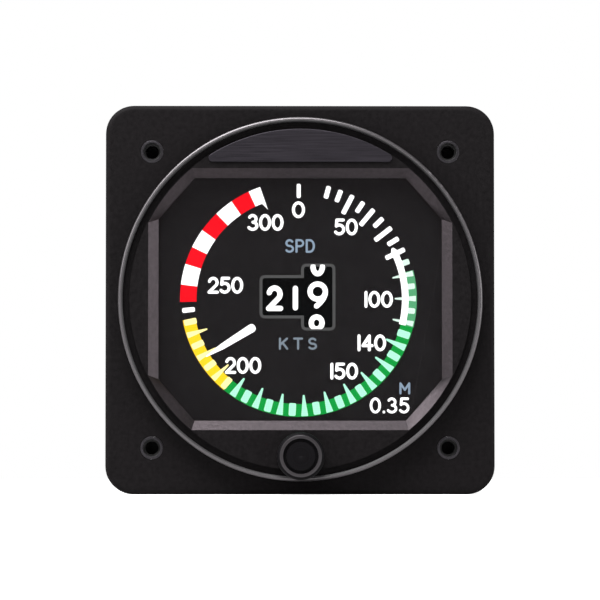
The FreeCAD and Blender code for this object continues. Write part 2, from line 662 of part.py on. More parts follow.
def carrier_screws():
    """The screws that hold the carrier plate to the bezel."""
    return [pan_screw(CARRIER_SCREW_RADIUS, CARRIER_SCREW_HEAD_RADIUS, CARRIER_SCREW_HEAD_HEIGHT,
                      CARRIER_SCREW_GRIP + CARRIER_THICKNESS - SCREW_FIT, CARRIER_BACK, x, z)
            for x, z in four_corners(CARRIER_SCREW_X, CARRIER_SCREW_Z)]


def posts(start, length, stud_length):
    """Four hexagonal stand-offs, each with a stud in front and a threaded bore behind."""
    result = []
    for x, z in four_corners(POST_OFFSET, POST_OFFSET):
        post = hexagon(POST_ACROSS_FLATS, start, start + length, x, z)
        post = post.fuse(rod(POST_STUD_RADIUS, start - stud_length, start, x, z))
        bore = rod(POST_STUD_RADIUS + SCREW_FIT, start + length - POST_BORE_DEPTH, start + length, x, z)
        result.append(post.cut(bore))
    return result


def circuit_board(start):
    """A round board with holes for the stand-offs."""
    holes = [rod(POST_STUD_RADIUS + POST_HOLE_FIT, start, start + BOARD_THICKNESS, x, z)
             for x, z in four_corners(POST_OFFSET, POST_OFFSET)]
    return rod(BOARD_RADIUS, start, start + BOARD_THICKNESS).cut(holes)


def board_screws():
    """The screws behind the last board."""
    grip = BOARD_THICKNESS + POST_STUD_REACH
    return [pan_screw(POST_STUD_RADIUS, POST_SCREW_HEAD_RADIUS, POST_SCREW_HEAD_HEIGHT, grip,
                      BOARDS_BACK, x, z) for x, z in four_corners(POST_OFFSET, POST_OFFSET)]


def driver_chips():
    """The display driver and two smaller chips on the first board's rear face."""
    start = FIRST_BOARD + BOARD_THICKNESS
    end = start + CHIP_THICKNESS
    chips = [centred_block(DRIVER_CHIP_SIDE, start, end, DRIVER_CHIP_SIDE)]
    for side in (-1, 1):
        chips.append(centred_block(MEMORY_WIDTH, start, end, MEMORY_WIDTH, side * DRIVER_CHIP_SPACING))
    return chips


def processor_chips():
    """The processor and its memory on the second board's front face."""
    start = SECOND_BOARD - CHIP_THICKNESS
    chips = [centred_block(PROCESSOR_SIDE, start, SECOND_BOARD, PROCESSOR_SIDE)]
    for side in (-1, 1):
        place = side * PROCESSOR_CHIP_SPACING
        chips.append(centred_block(MEMORY_WIDTH, start, SECOND_BOARD, MEMORY_LENGTH, place))
    return chips


def capacitors():
    """A row of smoothing capacitors on the third board's front face."""
    place = TRANSFORMER_SIDE / 2 + CAPACITOR_RADIUS + TRANSFORMER_GAP
    return [rod(CAPACITOR_RADIUS, THIRD_BOARD - CAPACITOR_HEIGHT, THIRD_BOARD, i * CAPACITOR_SPACING, place)
            for i in (-1, 0, 1)]


def power_transformer():
    """The supply's transformer: a square bobbin flange with a round winding on it."""
    flange = TRANSFORMER_FLANGE_THICKNESS
    front = THIRD_BOARD - TRANSFORMER_HEIGHT
    body = rod(TRANSFORMER_CORE_RADIUS, front, THIRD_BOARD)
    body = body.fuse(centred_block(TRANSFORMER_SIDE, THIRD_BOARD - flange, THIRD_BOARD, TRANSFORMER_SIDE))
    return body.fuse(centred_block(TRANSFORMER_SIDE, front, front + flange, TRANSFORMER_SIDE))


def stacking_headers():
    """The tall headers that join one board to the next."""
    spans = [(FIRST_BOARD + BOARD_THICKNESS, SECOND_BOARD), (SECOND_BOARD + BOARD_THICKNESS, THIRD_BOARD)]
    return [centred_block(HEADER_LENGTH, start, end, HEADER_WIDTH, 0, HEADER_Z) for start, end in spans]


def display_flex():
    """The flat cable from the display's tray to the first board, with a foot at each end."""
    thick = FLEX_THICKNESS
    low = FLEX_Z
    outline = [(FRAME_SHELF_BACK, low - FLEX_FOOT), (FRAME_SHELF_BACK, low + thick),
               (FIRST_BOARD - thick, low + thick), (FIRST_BOARD - thick, low + thick + FLEX_FOOT),
               (FIRST_BOARD, low + thick + FLEX_FOOT), (FIRST_BOARD, low),
               (FRAME_SHELF_BACK + thick, low), (FRAME_SHELF_BACK + thick, low - FLEX_FOOT)]
    points = [Vector(-FLEX_WIDTH / 2, y, z) for y, z in outline]
    return Part.Face(Part.makePolygon(points + points[:1])).extrude(Vector(FLEX_WIDTH, 0, 0))


def case_screw_top():
    """The distance from the axis to the flat top of a case screw, just under the tube's skin."""
    return CASE_OUTER_RADIUS - 2 * SCREW_FIT


def case_screw_head(fit, angle, y):
    """The cone of a countersunk head, grown by a fit for its seat."""
    top = case_screw_top()
    seat = top - CASE_SCREW_HEAD_HEIGHT
    return radial_cone(CASE_SCREW_RADIUS + fit, CASE_SCREW_HEAD_RADIUS + fit, seat, top, angle, y)


def case_tube():
    """The drawn tube between the flange and the rear cover."""
    tools = []
    for place in (FRONT_SCREW_PLACE, REAR_SCREW_PLACE):
        for angle in case_screw_angles():
            head = CASE_SCREW_HEAD_RADIUS + SCREW_FIT
            tools.append(radial_bar(CASE_SCREW_RADIUS + SCREW_FIT, CASE_INNER_RADIUS - CASE_WALL,
                                    CASE_OUTER_RADIUS, angle, place))
            tools.append(case_screw_head(SCREW_FIT, angle, place))
            tools.append(radial_bar(head, case_screw_top(), CASE_OUTER_RADIUS, angle, place))
    return sleeve(CASE_OUTER_RADIUS, CASE_INNER_RADIUS, FLANGE_THICKNESS, CASE_END).cut(tools)


def case_screws(place):
    """The countersunk screws that go through the tube into a spigot."""
    screws = []
    for angle in case_screw_angles():
        top = case_screw_top()
        seat = top - CASE_SCREW_HEAD_HEIGHT
        tip = CASE_OUTER_RADIUS - CASE_SCREW_LENGTH
        shank = radial_bar(CASE_SCREW_RADIUS, tip, seat + SHARP, angle, place)
        socket = radial_bar(CASE_SCREW_SOCKET_RADIUS, top - CASE_SCREW_SOCKET_DEPTH, top, angle, place)
        screws.append(shank.fuse(case_screw_head(0, angle, place)).cut(socket))
    return screws


def knob():
    """The knurled knob, with a rounded rim and a ring groove around the crowned cap of its face."""
    start = Vector(KNOB_RADIUS, KNOB_FRONT + KNOB_RIM_RADIUS, 0)
    sagitta = KNOB_RIM_RADIUS * (1 - math.sqrt(0.5))
    middle = Vector(KNOB_RADIUS - sagitta, KNOB_FRONT + sagitta, 0)
    end = Vector(KNOB_RADIUS - KNOB_RIM_RADIUS, KNOB_FRONT, 0)
    groove_floor = KNOB_FRONT + KNOB_GROOVE_DEPTH
    cap_edge = Vector(KNOB_CAP_RADIUS, KNOB_FRONT + KNOB_CAP_DROP, 0)
    cap_top = Vector(0, KNOB_FRONT + KNOB_CAP_DROP - KNOB_CAP_CROWN, 0)
    sphere = (KNOB_CAP_RADIUS ** 2 + KNOB_CAP_CROWN ** 2) / (2 * KNOB_CAP_CROWN)
    half_angle = math.asin(KNOB_CAP_RADIUS / sphere) / 2
    drop = sphere * (1 - math.cos(half_angle))
    cap_middle = Vector(sphere * math.sin(half_angle), cap_top.y + drop, 0)
    groove = Part.makePolygon([end, Vector(KNOB_GROOVE_RADIUS, KNOB_FRONT, 0),
                               Vector(KNOB_GROOVE_RADIUS, groove_floor, 0),
                               Vector(KNOB_CAP_RADIUS, groove_floor, 0), cap_edge])
    sides = Part.makePolygon([cap_top, Vector(0, KNOB_REAR, 0), Vector(KNOB_RADIUS, KNOB_REAR, 0), start])
    rim = Part.Arc(start, middle, end).toShape()
    crown = Part.Arc(cap_edge, cap_middle, cap_top).toShape()
    face = Part.Face(Part.Wire([rim] + groove.Edges + [crown] + sides.Edges))
    body = face.revolve(Vector(0, 0, 0), REARWARD, 360)
    body.translate(Vector(0, 0, KNOB_Z))
    tools = [rod(KNOB_SKIRT_RADIUS, SKIRT_FLOOR, KNOB_REAR, 0, KNOB_Z)]
    bore = SHAFT_RADIUS + RUNNING_FIT
    tools.append(d_bar(bore, SHAFT_FLAT + RUNNING_FIT, KNOB_FRONT + KNOB_FRONT_WEB, SKIRT_FLOOR, KNOB_Z))
    tools.append(set_screw_bar(SET_SCREW_RADIUS + RUNNING_FIT, SHAFT_FLAT, KNOB_RADIUS))
    groove_start = KNOB_FRONT + KNURL_SMOOTH_FRONT
    groove_end = KNOB_REAR - KNURL_SMOOTH_REAR
    for x, z in around(KNURL_COUNT, KNOB_RADIUS + KNURL_RADIUS - KNURL_DEPTH, 0, KNOB_Z):
        tools.append(rod(KNURL_RADIUS, groove_start, groove_end, x, z))
    return body.cut(tools)


def set_screw_bar(radius, inner, outer):
    """A bar across the knob's lower side, between two distances from the knob's axis."""
    place = (KNOB_FRONT + KNOB_FRONT_WEB + SKIRT_FLOOR) / 2
    return Part.makeCylinder(radius, outer - inner, Vector(0, place, KNOB_Z - inner), Vector(0, 0, -1))


def knob_set_screw():
    """The socket set screw that bites on the shaft's flat."""
    tip = SHAFT_FLAT + RUNNING_FIT
    end = KNOB_RADIUS - SET_SCREW_SETBACK
    socket = set_screw_bar(SET_SCREW_SOCKET_RADIUS, end - SET_SCREW_SOCKET_DEPTH, end)
    return set_screw_bar(SET_SCREW_RADIUS, tip, end).cut(socket)


def encoder_shaft():
    """The shaft that carries the knob, slides through the rotor and ends at the switch."""
    middle = rod(SHAFT_RADIUS, SKIRT_FLOOR, COLLAR_BACK, 0, KNOB_Z)
    front = d_bar(SHAFT_RADIUS, SHAFT_FLAT, SHAFT_TIP, SKIRT_FLOOR, KNOB_Z)
    collar = rod(COLLAR_RADIUS, COLLAR_FRONT, COLLAR_BACK, 0, KNOB_Z)
    rear = d_bar(SHAFT_RADIUS, SHAFT_FLAT, COLLAR_BACK, SHAFT_END, KNOB_Z)
    return middle.fuse([front, collar, rear]).removeSplitter()


def shaft_bushing():
    """The bushing in the bezel's wall, with its recess for the shaft seal."""
    bore = SHAFT_RADIUS + RUNNING_FIT
    recess = SHAFT_RADIUS + RUNNING_FIT + 2 * SEAL_SECTION_RADIUS + SCREW_FIT
    recess_floor = BOSS_FRONT + SEAL_RECESS_DEPTH
    profile = [(recess, BOSS_FRONT), (BUSHING_RADIUS, BOSS_FRONT), (BUSHING_RADIUS, ENCODER_FLOOR),
               (BUSHING_FLANGE_RADIUS, ENCODER_FLOOR), (BUSHING_FLANGE_RADIUS, HOUSING_FRONT),
               (bore, HOUSING_FRONT), (bore, recess_floor), (recess, recess_floor)]
    return turned(profile, 0, KNOB_Z)


def shaft_seal():
    """The small sealing ring around the shaft."""
    centre = SHAFT_RADIUS + RUNNING_FIT + SEAL_SECTION_RADIUS
    place = BOSS_FRONT + SEAL_RECESS_DEPTH - SEAL_SECTION_RADIUS
    return Part.makeTorus(centre, SEAL_SECTION_RADIUS, Vector(0, place, KNOB_Z), REARWARD)


def detent_slot():
    """Limits on x of the slot that the detent leaf lies in."""
    inner = ROTOR_RADIUS + DETENT_NOSE_OFFSET
    return inner, inner + DETENT_LEAF_THICKNESS


def encoder_housing():
    """The encoder's body, with a chamber for the rotor and one for the switch."""
    body = centred_block(HOUSING_WIDTH, HOUSING_FRONT, HOUSING_BACK, HOUSING_HEIGHT, 0, KNOB_Z)
    chamber = ROTOR_RADIUS + ROTOR_CHAMBER_GAP
    inner, outer = detent_slot()
    length = (KNOB_Z - DETENT_LEAF_HALF_LENGTH, KNOB_Z + DETENT_LEAF_HALF_LENGTH)
    depth = (ROTOR_FRONT, ROTOR_STAR_BACK)
    tools = [rod(COLLAR_RADIUS + COLLAR_SIDE_GAP, HOUSING_FRONT, CHAMBER_FRONT, 0, KNOB_Z),
             rod(chamber, CHAMBER_FRONT, CHAMBER_BACK, 0, KNOB_Z),
             rod(ROTOR_HUB_RADIUS + RUNNING_FIT, CHAMBER_BACK, SWITCH_FRONT, 0, KNOB_Z),
             rod(DOME_RADIUS + HOUSING_GAP, SWITCH_FRONT, HOUSING_BACK, 0, KNOB_Z),
             block((0, outer), depth, length)]
    return body.cut(tools)


def detent_spring():
    """The leaf with a round nose that rests in a notch of the rotor."""
    inner, outer = detent_slot()
    start = ROTOR_FRONT + ROTOR_END_GAP
    end = ROTOR_STAR_BACK - ROTOR_END_GAP
    length = (KNOB_Z - DETENT_LEAF_HALF_LENGTH, KNOB_Z + DETENT_LEAF_HALF_LENGTH)
    leaf = block((inner, outer), (start, end), length)
    nose = rod(DETENT_NOSE_RADIUS, start, end, inner, KNOB_Z)
    return leaf.fuse(nose.cut(block((inner, inner + 2 * DETENT_NOSE_RADIUS), (start, end), length)))


def encoder_rotor():
    """The notched rotor, driven by the shaft's flat, with its hub in the housing's middle wall."""
    star = rod(ROTOR_RADIUS, ROTOR_FRONT, ROTOR_STAR_BACK, 0, KNOB_Z)
    body = star.fuse(rod(ROTOR_HUB_RADIUS, ROTOR_STAR_BACK, SWITCH_FRONT, 0, KNOB_Z))
    tools = [rod(COLLAR_RADIUS + COLLAR_SIDE_GAP, ROTOR_FRONT, ROTOR_SOCKET_FLOOR, 0, KNOB_Z),
             d_bar(SHAFT_RADIUS + RUNNING_FIT, SHAFT_FLAT + RUNNING_FIT, ROTOR_FRONT, SWITCH_FRONT, KNOB_Z)]
    for x, z in around(DETENT_COUNT, ROTOR_RADIUS + DETENT_NOTCH_OFFSET, 0, KNOB_Z, 0.0):
        tools.append(rod(DETENT_NOTCH_RADIUS, ROTOR_FRONT, ROTOR_STAR_BACK, x, z))
    return body.cut(tools)


def push_switch_dome():
    """The snap dome on the encoder's board that the shaft's end presses."""
    sphere = (DOME_RADIUS ** 2 + DOME_HEIGHT ** 2) / (2 * DOME_HEIGHT)
    centre = Vector(0, DOME_CROWN + sphere, KNOB_Z)
    shell = Part.makeSphere(sphere, centre).cut(Part.makeSphere(sphere - DOME_THICKNESS, centre))
    return shell.common(rod(DOME_RADIUS, DOME_CROWN, HOUSING_BACK, 0, KNOB_Z))


def encoder_board():
    """The small board that closes the encoder and is screwed to the bezel."""
    disc = rod(CARRIER_RADIUS, HOUSING_BACK, ENCODER_BOARD_BACK)
    half = ENCODER_BOARD_HALF_WIDTH
    top = KNOB_Z + ENCODER_BOARD_TOP
    body = disc.common(block((-half, half), (HOUSING_BACK, ENCODER_BOARD_BACK), (-CARRIER_RADIUS, top)))
    radius = ENCODER_SCREW_RADIUS + SCREW_FIT
    holes = [rod(radius, HOUSING_BACK, ENCODER_BOARD_BACK, x, z) for x, z in encoder_screw_points()]
    return body.cut(holes)


def encoder_screws():
    """The two screws of the encoder's board."""
    grip = ENCODER_SCREW_GRIP + ENCODER_BOARD_THICKNESS - SCREW_FIT
    return [pan_screw(ENCODER_SCREW_RADIUS, ENCODER_SCREW_HEAD_RADIUS, ENCODER_SCREW_HEAD_HEIGHT, grip,
                      ENCODER_BOARD_BACK, x, z) for x, z in encoder_screw_points()]


def port_points():
    """Where the pitot and the static port stand."""
    return {"pitot": -PORT_X, "static": PORT_X}


def rear_cover():
    """The turned cover with its spigot, the pads of the ports and the connector's throat."""
    edge = REAR_EDGE_CHAMFER
    inner = COVER_INNER_RADIUS
    profile = [(0, CASE_END), (inner, CASE_END), (inner, CASE_END - SPIGOT_LENGTH),
               (SPIGOT_RADIUS, CASE_END - SPIGOT_LENGTH), (SPIGOT_RADIUS, CASE_END),
               (CASE_OUTER_RADIUS, CASE_END), (CASE_OUTER_RADIUS, COVER_BACK - edge),
               (CASE_OUTER_RADIUS - edge, COVER_BACK), (0, COVER_BACK)]
    body = turned(profile)
    pads = [rod(PORT_PAD_RADIUS, COVER_BACK, COVER_BACK + PORT_PAD_HEIGHT, x, PORT_Z)
            for x in port_points().values()]
    body = body.fuse(pads)
    tools = [rod(PORT_STUD_RADIUS + POST_HOLE_FIT, CASE_END, COVER_BACK + PORT_PAD_HEIGHT, x, PORT_Z)
             for x in port_points().values()]
    tools.append(rod(CONNECTOR_THROAT_RADIUS, CASE_END, COVER_BACK, 0, CONNECTOR_Z))
    tools.append(rod(GROUND_RADIUS + SCREW_FIT, CASE_END, COVER_BACK, 0, GROUND_Z))
    for x, z in connector_screw_points():
        tools.append(rod(CONNECTOR_SCREW_RADIUS + SCREW_FIT, CASE_END, COVER_BACK, x, z))
    tools.extend(spigot_holes(REAR_SCREW_PLACE))
    return body.cut(tools)


def barb_profile(start, direction):
    """The (radius, y) points of a hose barb that grows from start along direction."""
    pitch = BARB_LENGTH / BARB_COUNT
    points = []
    for i in range(BARB_COUNT):
        points.append((BARB_CREST_RADIUS, start + direction * pitch * (i + BARB_LEAD_SHARE)))
        points.append((BARB_RADIUS, start + direction * pitch * (i + 1)))
    return points


def port_fitting(x):
    """An air fitting: a hexagon with a tapped mouth, a stud through the cover and a barb inside."""
    seat = COVER_BACK + PORT_PAD_HEIGHT + PORT_SEAL_THICKNESS
    mouth = seat + PORT_HEX_LENGTH
    stud_end = seat - PORT_STUD_LENGTH
    stem = [(0, seat), (PORT_STUD_RADIUS, seat), (PORT_STUD_RADIUS, stud_end), (BARB_RADIUS, stud_end)]
    stem += barb_profile(stud_end, -1) + [(0, stud_end - BARB_LENGTH)]
    body = hexagon(PORT_ACROSS_FLATS, seat, mouth, x, PORT_Z).fuse(turned(stem, x, PORT_Z))
    tools = [rod(PORT_BORE_RADIUS, mouth - PORT_BORE_LENGTH, mouth, x, PORT_Z),
             rod(AIR_PASSAGE_RADIUS, stud_end - BARB_LENGTH, mouth, x, PORT_Z)]
    return body.cut(tools)


def port_seals():
    """The sealing washers under the air fittings."""
    start = COVER_BACK + PORT_PAD_HEIGHT
    end = start + PORT_SEAL_THICKNESS
    bore = PORT_STUD_RADIUS + POST_HOLE_FIT
    return [sleeve(PORT_SEAL_RADIUS, bore, start, end, x, PORT_Z) for x in port_points().values()]


def port_nuts():
    """The nuts inside the cover that pull the air fittings tight."""
    nuts = []
    for x in port_points().values():
        nut = hexagon(PORT_NUT_ACROSS_FLATS, CASE_END - PORT_NUT_THICKNESS, CASE_END, x, PORT_Z)
        bore = rod(PORT_STUD_RADIUS + SCREW_FIT, CASE_END - PORT_NUT_THICKNESS, CASE_END, x, PORT_Z)
        nuts.append(nut.cut(bore))
    return nuts


def pressure_sensor(x):
    """A pressure sensor on the third board: a square body with a barbed nipple."""
    top = BOARDS_BACK + SENSOR_HEIGHT
    body = centred_block(SENSOR_SIDE, BOARDS_BACK, top, SENSOR_SIDE, x, PORT_Z)
    nipple = [(0, BOARDS_BACK), (BARB_RADIUS, BOARDS_BACK), (BARB_RADIUS, top)]
    nipple += barb_profile(top, 1) + [(0, top + BARB_LENGTH)]
    passage = rod(AIR_PASSAGE_RADIUS, top, top + BARB_LENGTH, x, PORT_Z)
    return body.fuse(turned(nipple, x, PORT_Z)).cut(passage)


def air_hose(x):
    """The short hose from an air fitting's barb to its sensor."""
    seat = COVER_BACK + PORT_PAD_HEIGHT + PORT_SEAL_THICKNESS
    start = BOARDS_BACK + SENSOR_HEIGHT + HOSE_END_GAP
    end = seat - PORT_STUD_LENGTH - HOSE_END_GAP
    return sleeve(HOSE_RADIUS, BARB_CREST_RADIUS + HOSE_FIT, start, end, x, PORT_Z)


def connector_screw_points():
    """Where the connector's four screws stand."""
    return four_corners(CONNECTOR_SCREW_OFFSET, CONNECTOR_SCREW_OFFSET, 0, CONNECTOR_Z)


def connector_stations():
    """Where the connector's flange starts and ends, and its rim."""
    flange_start = COVER_BACK + CONNECTOR_GASKET_THICKNESS
    flange_end = flange_start + CONNECTOR_FLANGE_THICKNESS
    return flange_start, flange_end, flange_end + CONNECTOR_SHELL_LENGTH


def connector_plate(start, end, bore):
    """A square plate of the connector's outline with its bore and its screw holes."""
    plate = rounded_plate(CONNECTOR_FLANGE_HALF, CONNECTOR_FLANGE_CORNER_RADIUS, start, end, 0, CONNECTOR_Z)
    tools = [rod(CONNECTOR_SCREW_RADIUS + SCREW_FIT, start, end, x, z) for x, z in connector_screw_points()]
    return plate.cut(tools + [rod(bore, start, end, 0, CONNECTOR_Z)])


def connector_shell():
    """The receptacle's shell: a square flange, a round wall and three bayonet pegs."""
    flange_start, flange_end, rim = connector_stations()
    wall = sleeve(CONNECTOR_SHELL_RADIUS, CONNECTOR_BORE_RADIUS, CASE_END, rim, 0, CONNECTOR_Z)
    body = connector_plate(flange_start, flange_end, CONNECTOR_BORE_RADIUS).fuse(wall)
    for i in range(BAYONET_PEG_COUNT):
        angle = math.radians(90 + 360.0 * i / BAYONET_PEG_COUNT)
        direction = Vector(math.cos(angle), 0, math.sin(angle))
        start = CONNECTOR_SHELL_RADIUS - (CONNECTOR_SHELL_RADIUS - CONNECTOR_BORE_RADIUS) / 2
        base = direction * start + Vector(0, rim - BAYONET_PEG_SETBACK, CONNECTOR_Z)
        length = CONNECTOR_SHELL_RADIUS + BAYONET_PEG_HEIGHT - start
        body = body.fuse(Part.makeCylinder(BAYONET_PEG_RADIUS, length, base, direction))
    return body


def connector_pin_points():
    """Where the connector's contacts stand."""
    inner = around(CONNECTOR_INNER_PINS, CONNECTOR_INNER_PIN_CIRCLE, 0, CONNECTOR_Z)
    outer = around(CONNECTOR_OUTER_PINS, CONNECTOR_OUTER_PIN_CIRCLE, 0, CONNECTOR_Z)
    return inner + outer


def connector_insert():
    """The insulating block in the shell, drilled for the contacts."""
    end = connector_stations()[1] + CONNECTOR_INSERT_HEIGHT
    body = rod(CONNECTOR_BORE_RADIUS - SCREW_FIT, CASE_END, end, 0, CONNECTOR_Z)
    return body.cut([rod(CONNECTOR_PIN_RADIUS, CASE_END, end, x, z) for x, z in connector_pin_points()])


def connector_pins():
    """The contacts: each is a pin with a rounded end."""
    end = connector_stations()[1] + CONNECTOR_INSERT_HEIGHT + CONNECTOR_PIN_PROUD
    start = CASE_END - CONNECTOR_PIN_TAIL
    radius = CONNECTOR_PIN_RADIUS
    profile = [(0, start), (radius, start), (radius, end - radius), (radius / 2, end), (0, end)]
    return [turned(profile, x, z) for x, z in connector_pin_points()]


def connector_wires():
    """The wires from the contacts to the plug on the third board."""
    start = BOARDS_BACK + PLUG_HEIGHT
    return [rod(WIRE_RADIUS, start, CASE_END - CONNECTOR_PIN_TAIL, x, z) for x, z in connector_pin_points()]


def connector_screws():
    """The screws that hold the connector and its gasket to the cover."""
    seat = connector_stations()[1]
    grip = seat - CASE_END
    return [pan_screw(CONNECTOR_SCREW_RADIUS, CONNECTOR_SCREW_HEAD_RADIUS, CONNECTOR_SCREW_HEAD_HEIGHT,
                      grip, seat, x, z) for x, z in connector_screw_points()]


def ground_hardware():
    """A nut inside the cover, and a washer and a nut behind it, on the ground stud."""
    bore = GROUND_RADIUS + SCREW_FIT
    washer_end = COVER_BACK + GROUND_WASHER_THICKNESS
    spans = [(CASE_END - GROUND_NUT_THICKNESS, CASE_END), (washer_end, washer_end + GROUND_NUT_THICKNESS)]
    pieces = [sleeve(GROUND_WASHER_RADIUS, bore, COVER_BACK, washer_end, 0, GROUND_Z)]
    for start, end in spans:
        nut = hexagon(GROUND_NUT_ACROSS_FLATS, start, end, 0, GROUND_Z)
        pieces.append(nut.cut(rod(bore, start, end, 0, GROUND_Z)))
    return pieces


def ground_stud():
    """The threaded stud that takes the bonding strap, with a relief behind its outer nut."""
    relief_start = COVER_BACK + GROUND_WASHER_THICKNESS + GROUND_NUT_THICKNESS
    relief_end = relief_start + GROUND_RELIEF_LENGTH
    tip = COVER_BACK + GROUND_LENGTH
    tip_radius = GROUND_RADIUS - GROUND_TIP_CHAMFER
    profile = [(0, CASE_END - GROUND_NUT_THICKNESS), (GROUND_RADIUS, CASE_END - GROUND_NUT_THICKNESS),
               (GROUND_RADIUS, relief_start), (GROUND_RELIEF_RADIUS, relief_start),
               (GROUND_RELIEF_RADIUS, relief_end), (GROUND_RADIUS, relief_end),
               (GROUND_RADIUS, tip - GROUND_TIP_CHAMFER), (tip_radius, tip), (0, tip)]
    return turned(profile, 0, GROUND_Z)


def save(name, shape):
    """Write one named sub-part, which is a solid or a list of separate solids."""
    solids = shape if isinstance(shape, list) else [shape]
    whole = solids[0] if len(solids) == 1 else Part.makeCompound(solids)
    whole.exportStep("parts/" + name + ".step")
    print(name, len(whole.Solids), whole.isValid(), round(whole.Volume, 2))


def build_front():
    """The bezel and what the reader of the dial sees or touches."""
    save("front_bezel", front_bezel())
    save("bezel_ring", bezel_ring())
    half = SCREW_SPACING / 2
    save("threaded_inserts", [threaded_insert(x, z) for x, z in four_corners(half, half)])
    save("badge_plate", badge_plate())
    save("window_gasket", window_gasket())
    save("cover_glass", window_prism(TRAY_GROWTH, GLASS_FRONT, GLASS_BACK))


def build_display():
    """The display stack in the bezel's pocket."""
    grown = LIP_WIDTH - LCD_INSET
    films = [window_prism(grown, GLASS_BACK, LCD_FRONT), window_prism(grown, LCD_BACK, REAR_FILM_BACK)]
    save("polariser_films", films)
    save("lcd_front_glass", window_prism(grown, LCD_FRONT, LCD_MIDDLE))
    save("lcd_rear_glass", window_prism(grown, LCD_MIDDLE, LCD_BACK))
    save("diffuser_sheet", window_prism(grown, REAR_FILM_BACK, FRAME_FRONT))
    save("light_guide", light_guide())
    save("led_strip", led_strip())
    save("display_frame", display_frame())
    save("display_flex", display_flex())
    save("carrier_plate", carrier_plate())
    save("carrier_screws", carrier_screws())


def build_knob():
    """The knob, the encoder behind it and its switch."""
    save("knob", knob())
    save("knob_set_screw", knob_set_screw())
    save("encoder_shaft", encoder_shaft())
    save("shaft_bushing", shaft_bushing())
    save("shaft_seal", shaft_seal())
    save("encoder_housing", encoder_housing())
    save("encoder_rotor", encoder_rotor())
    save("detent_spring", detent_spring())
    save("push_switch_dome", push_switch_dome())
    save("encoder_board", encoder_board())
    save("encoder_screws", encoder_screws())


def build_boards():
    """The three boards, their stand-offs and what stands on them."""
    stud = BOARD_THICKNESS + POST_STUD_REACH
    save("front_posts", posts(CARRIER_BACK, FRONT_POST_LENGTH, CARRIER_THICKNESS))
    save("middle_posts", posts(FIRST_BOARD + BOARD_THICKNESS, REAR_POST_LENGTH, stud))
    save("rear_posts", posts(SECOND_BOARD + BOARD_THICKNESS, REAR_POST_LENGTH, stud))
    save("display_board", circuit_board(FIRST_BOARD))
    save("processor_board", circuit_board(SECOND_BOARD))
    save("power_board", circuit_board(THIRD_BOARD))
    save("board_screws", board_screws())
    save("driver_chips", driver_chips())
    save("processor_chips", processor_chips())
    save("capacitors", capacitors())
    save("power_transformer", power_transformer())
    save("stacking_headers", stacking_headers())
    for name, x in port_points().items():
        save(name + "_sensor", pressure_sensor(x))
        save(name + "_hose", air_hose(x))
    save("wiring_plug", rod(PLUG_RADIUS, BOARDS_BACK, BOARDS_BACK + PLUG_HEIGHT, 0, CONNECTOR_Z))
    save("connector_wires", connector_wires())


def build_case():
    """The case tube, the rear cover and what passes through it."""
    save("case_tube", case_tube())
    save("front_case_screws", case_screws(FRONT_SCREW_PLACE))
    save("rear_case_screws", case_screws(REAR_SCREW_PLACE))
    save("rear_cover", rear_cover())
    for name, x in port_points().items():
        save(name + "_port", port_fitting(x))
    save("port_seals", port_seals())
    save("port_nuts", port_nuts())
    flange_start = connector_stations()[0]
    save("connector_gasket", connector_plate(COVER_BACK, flange_start, CONNECTOR_THROAT_RADIUS))
    save("connector_shell", connector_shell())
    save("connector_insert", connector_insert())
    save("connector_pins", connector_pins())
    save("connector_screws", connector_screws())
    save("ground_stud", ground_stud())
    save("ground_hardware", ground_hardware())


os.makedirs("parts", exist_ok=True)
build_front()
build_display()
build_knob()
build_boards()
build_case()
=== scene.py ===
"""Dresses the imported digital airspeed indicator: its finishes, its lit dial and a plain studio.

Sizes are in millimetres, apart from the studio's, which are in metres. The pilot looks along y, with
x to the right and z up, and angles on the dial run clockwise from its top.
"""

import json
import logging
from collections.abc import Callable, Iterator, Sequence
from contextlib import contextmanager
from dataclasses import dataclass
from enum import Enum
from math import cos, dist, hypot, pi, radians, sin, sqrt

import bmesh
import bpy
from mathutils import Matrix, Vector


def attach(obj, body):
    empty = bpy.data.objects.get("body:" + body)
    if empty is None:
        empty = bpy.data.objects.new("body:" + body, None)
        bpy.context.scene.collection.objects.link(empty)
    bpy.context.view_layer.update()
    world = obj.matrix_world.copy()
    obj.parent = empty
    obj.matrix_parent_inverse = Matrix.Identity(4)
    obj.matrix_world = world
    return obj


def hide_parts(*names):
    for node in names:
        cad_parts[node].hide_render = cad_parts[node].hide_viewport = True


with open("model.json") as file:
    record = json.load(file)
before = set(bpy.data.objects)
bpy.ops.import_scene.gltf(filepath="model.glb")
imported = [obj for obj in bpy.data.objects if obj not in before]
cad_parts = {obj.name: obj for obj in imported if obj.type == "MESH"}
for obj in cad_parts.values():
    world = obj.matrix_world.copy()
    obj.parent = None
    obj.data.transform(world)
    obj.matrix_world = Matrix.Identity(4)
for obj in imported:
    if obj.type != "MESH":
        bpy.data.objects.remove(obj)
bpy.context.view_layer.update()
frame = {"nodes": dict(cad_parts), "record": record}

log = logging.getLogger("airspeed_indicator")
logging.basicConfig(level=logging.INFO)

MM = 0.001
Point = tuple[float, float]
Place = tuple[float, float, float]
Stroke = list[Point]
Piece = bpy.types.Object
Tree = bpy.types.NodeTree
Socket = bpy.types.NodeSocket

DIAL_CENTRE: Point = (-0.30, 0.17)
KNOB_AXIS: Point = (0.0, -33.2)
# A wave texture of scale 1 turns 20 radians a metre.
WAVE_RADIANS = 20
# A scratch's width over its length.
SCRATCH_SHARE = 0.03
# Noise keeps near its middle, so this span is spread over the two tones.
NOISE_SPAN = (0.32, 0.68)
# Real picture dots are 0.2 mm, too fine for a render to show, so they are drawn coarser.
PICTURE_DOT = 0.42
PICTURE_GLOSS = (0.6, 0.7)
# What a dot's own dark and light tones take of a lit colour.
DOT_SHARES = (0.25, 0.5)
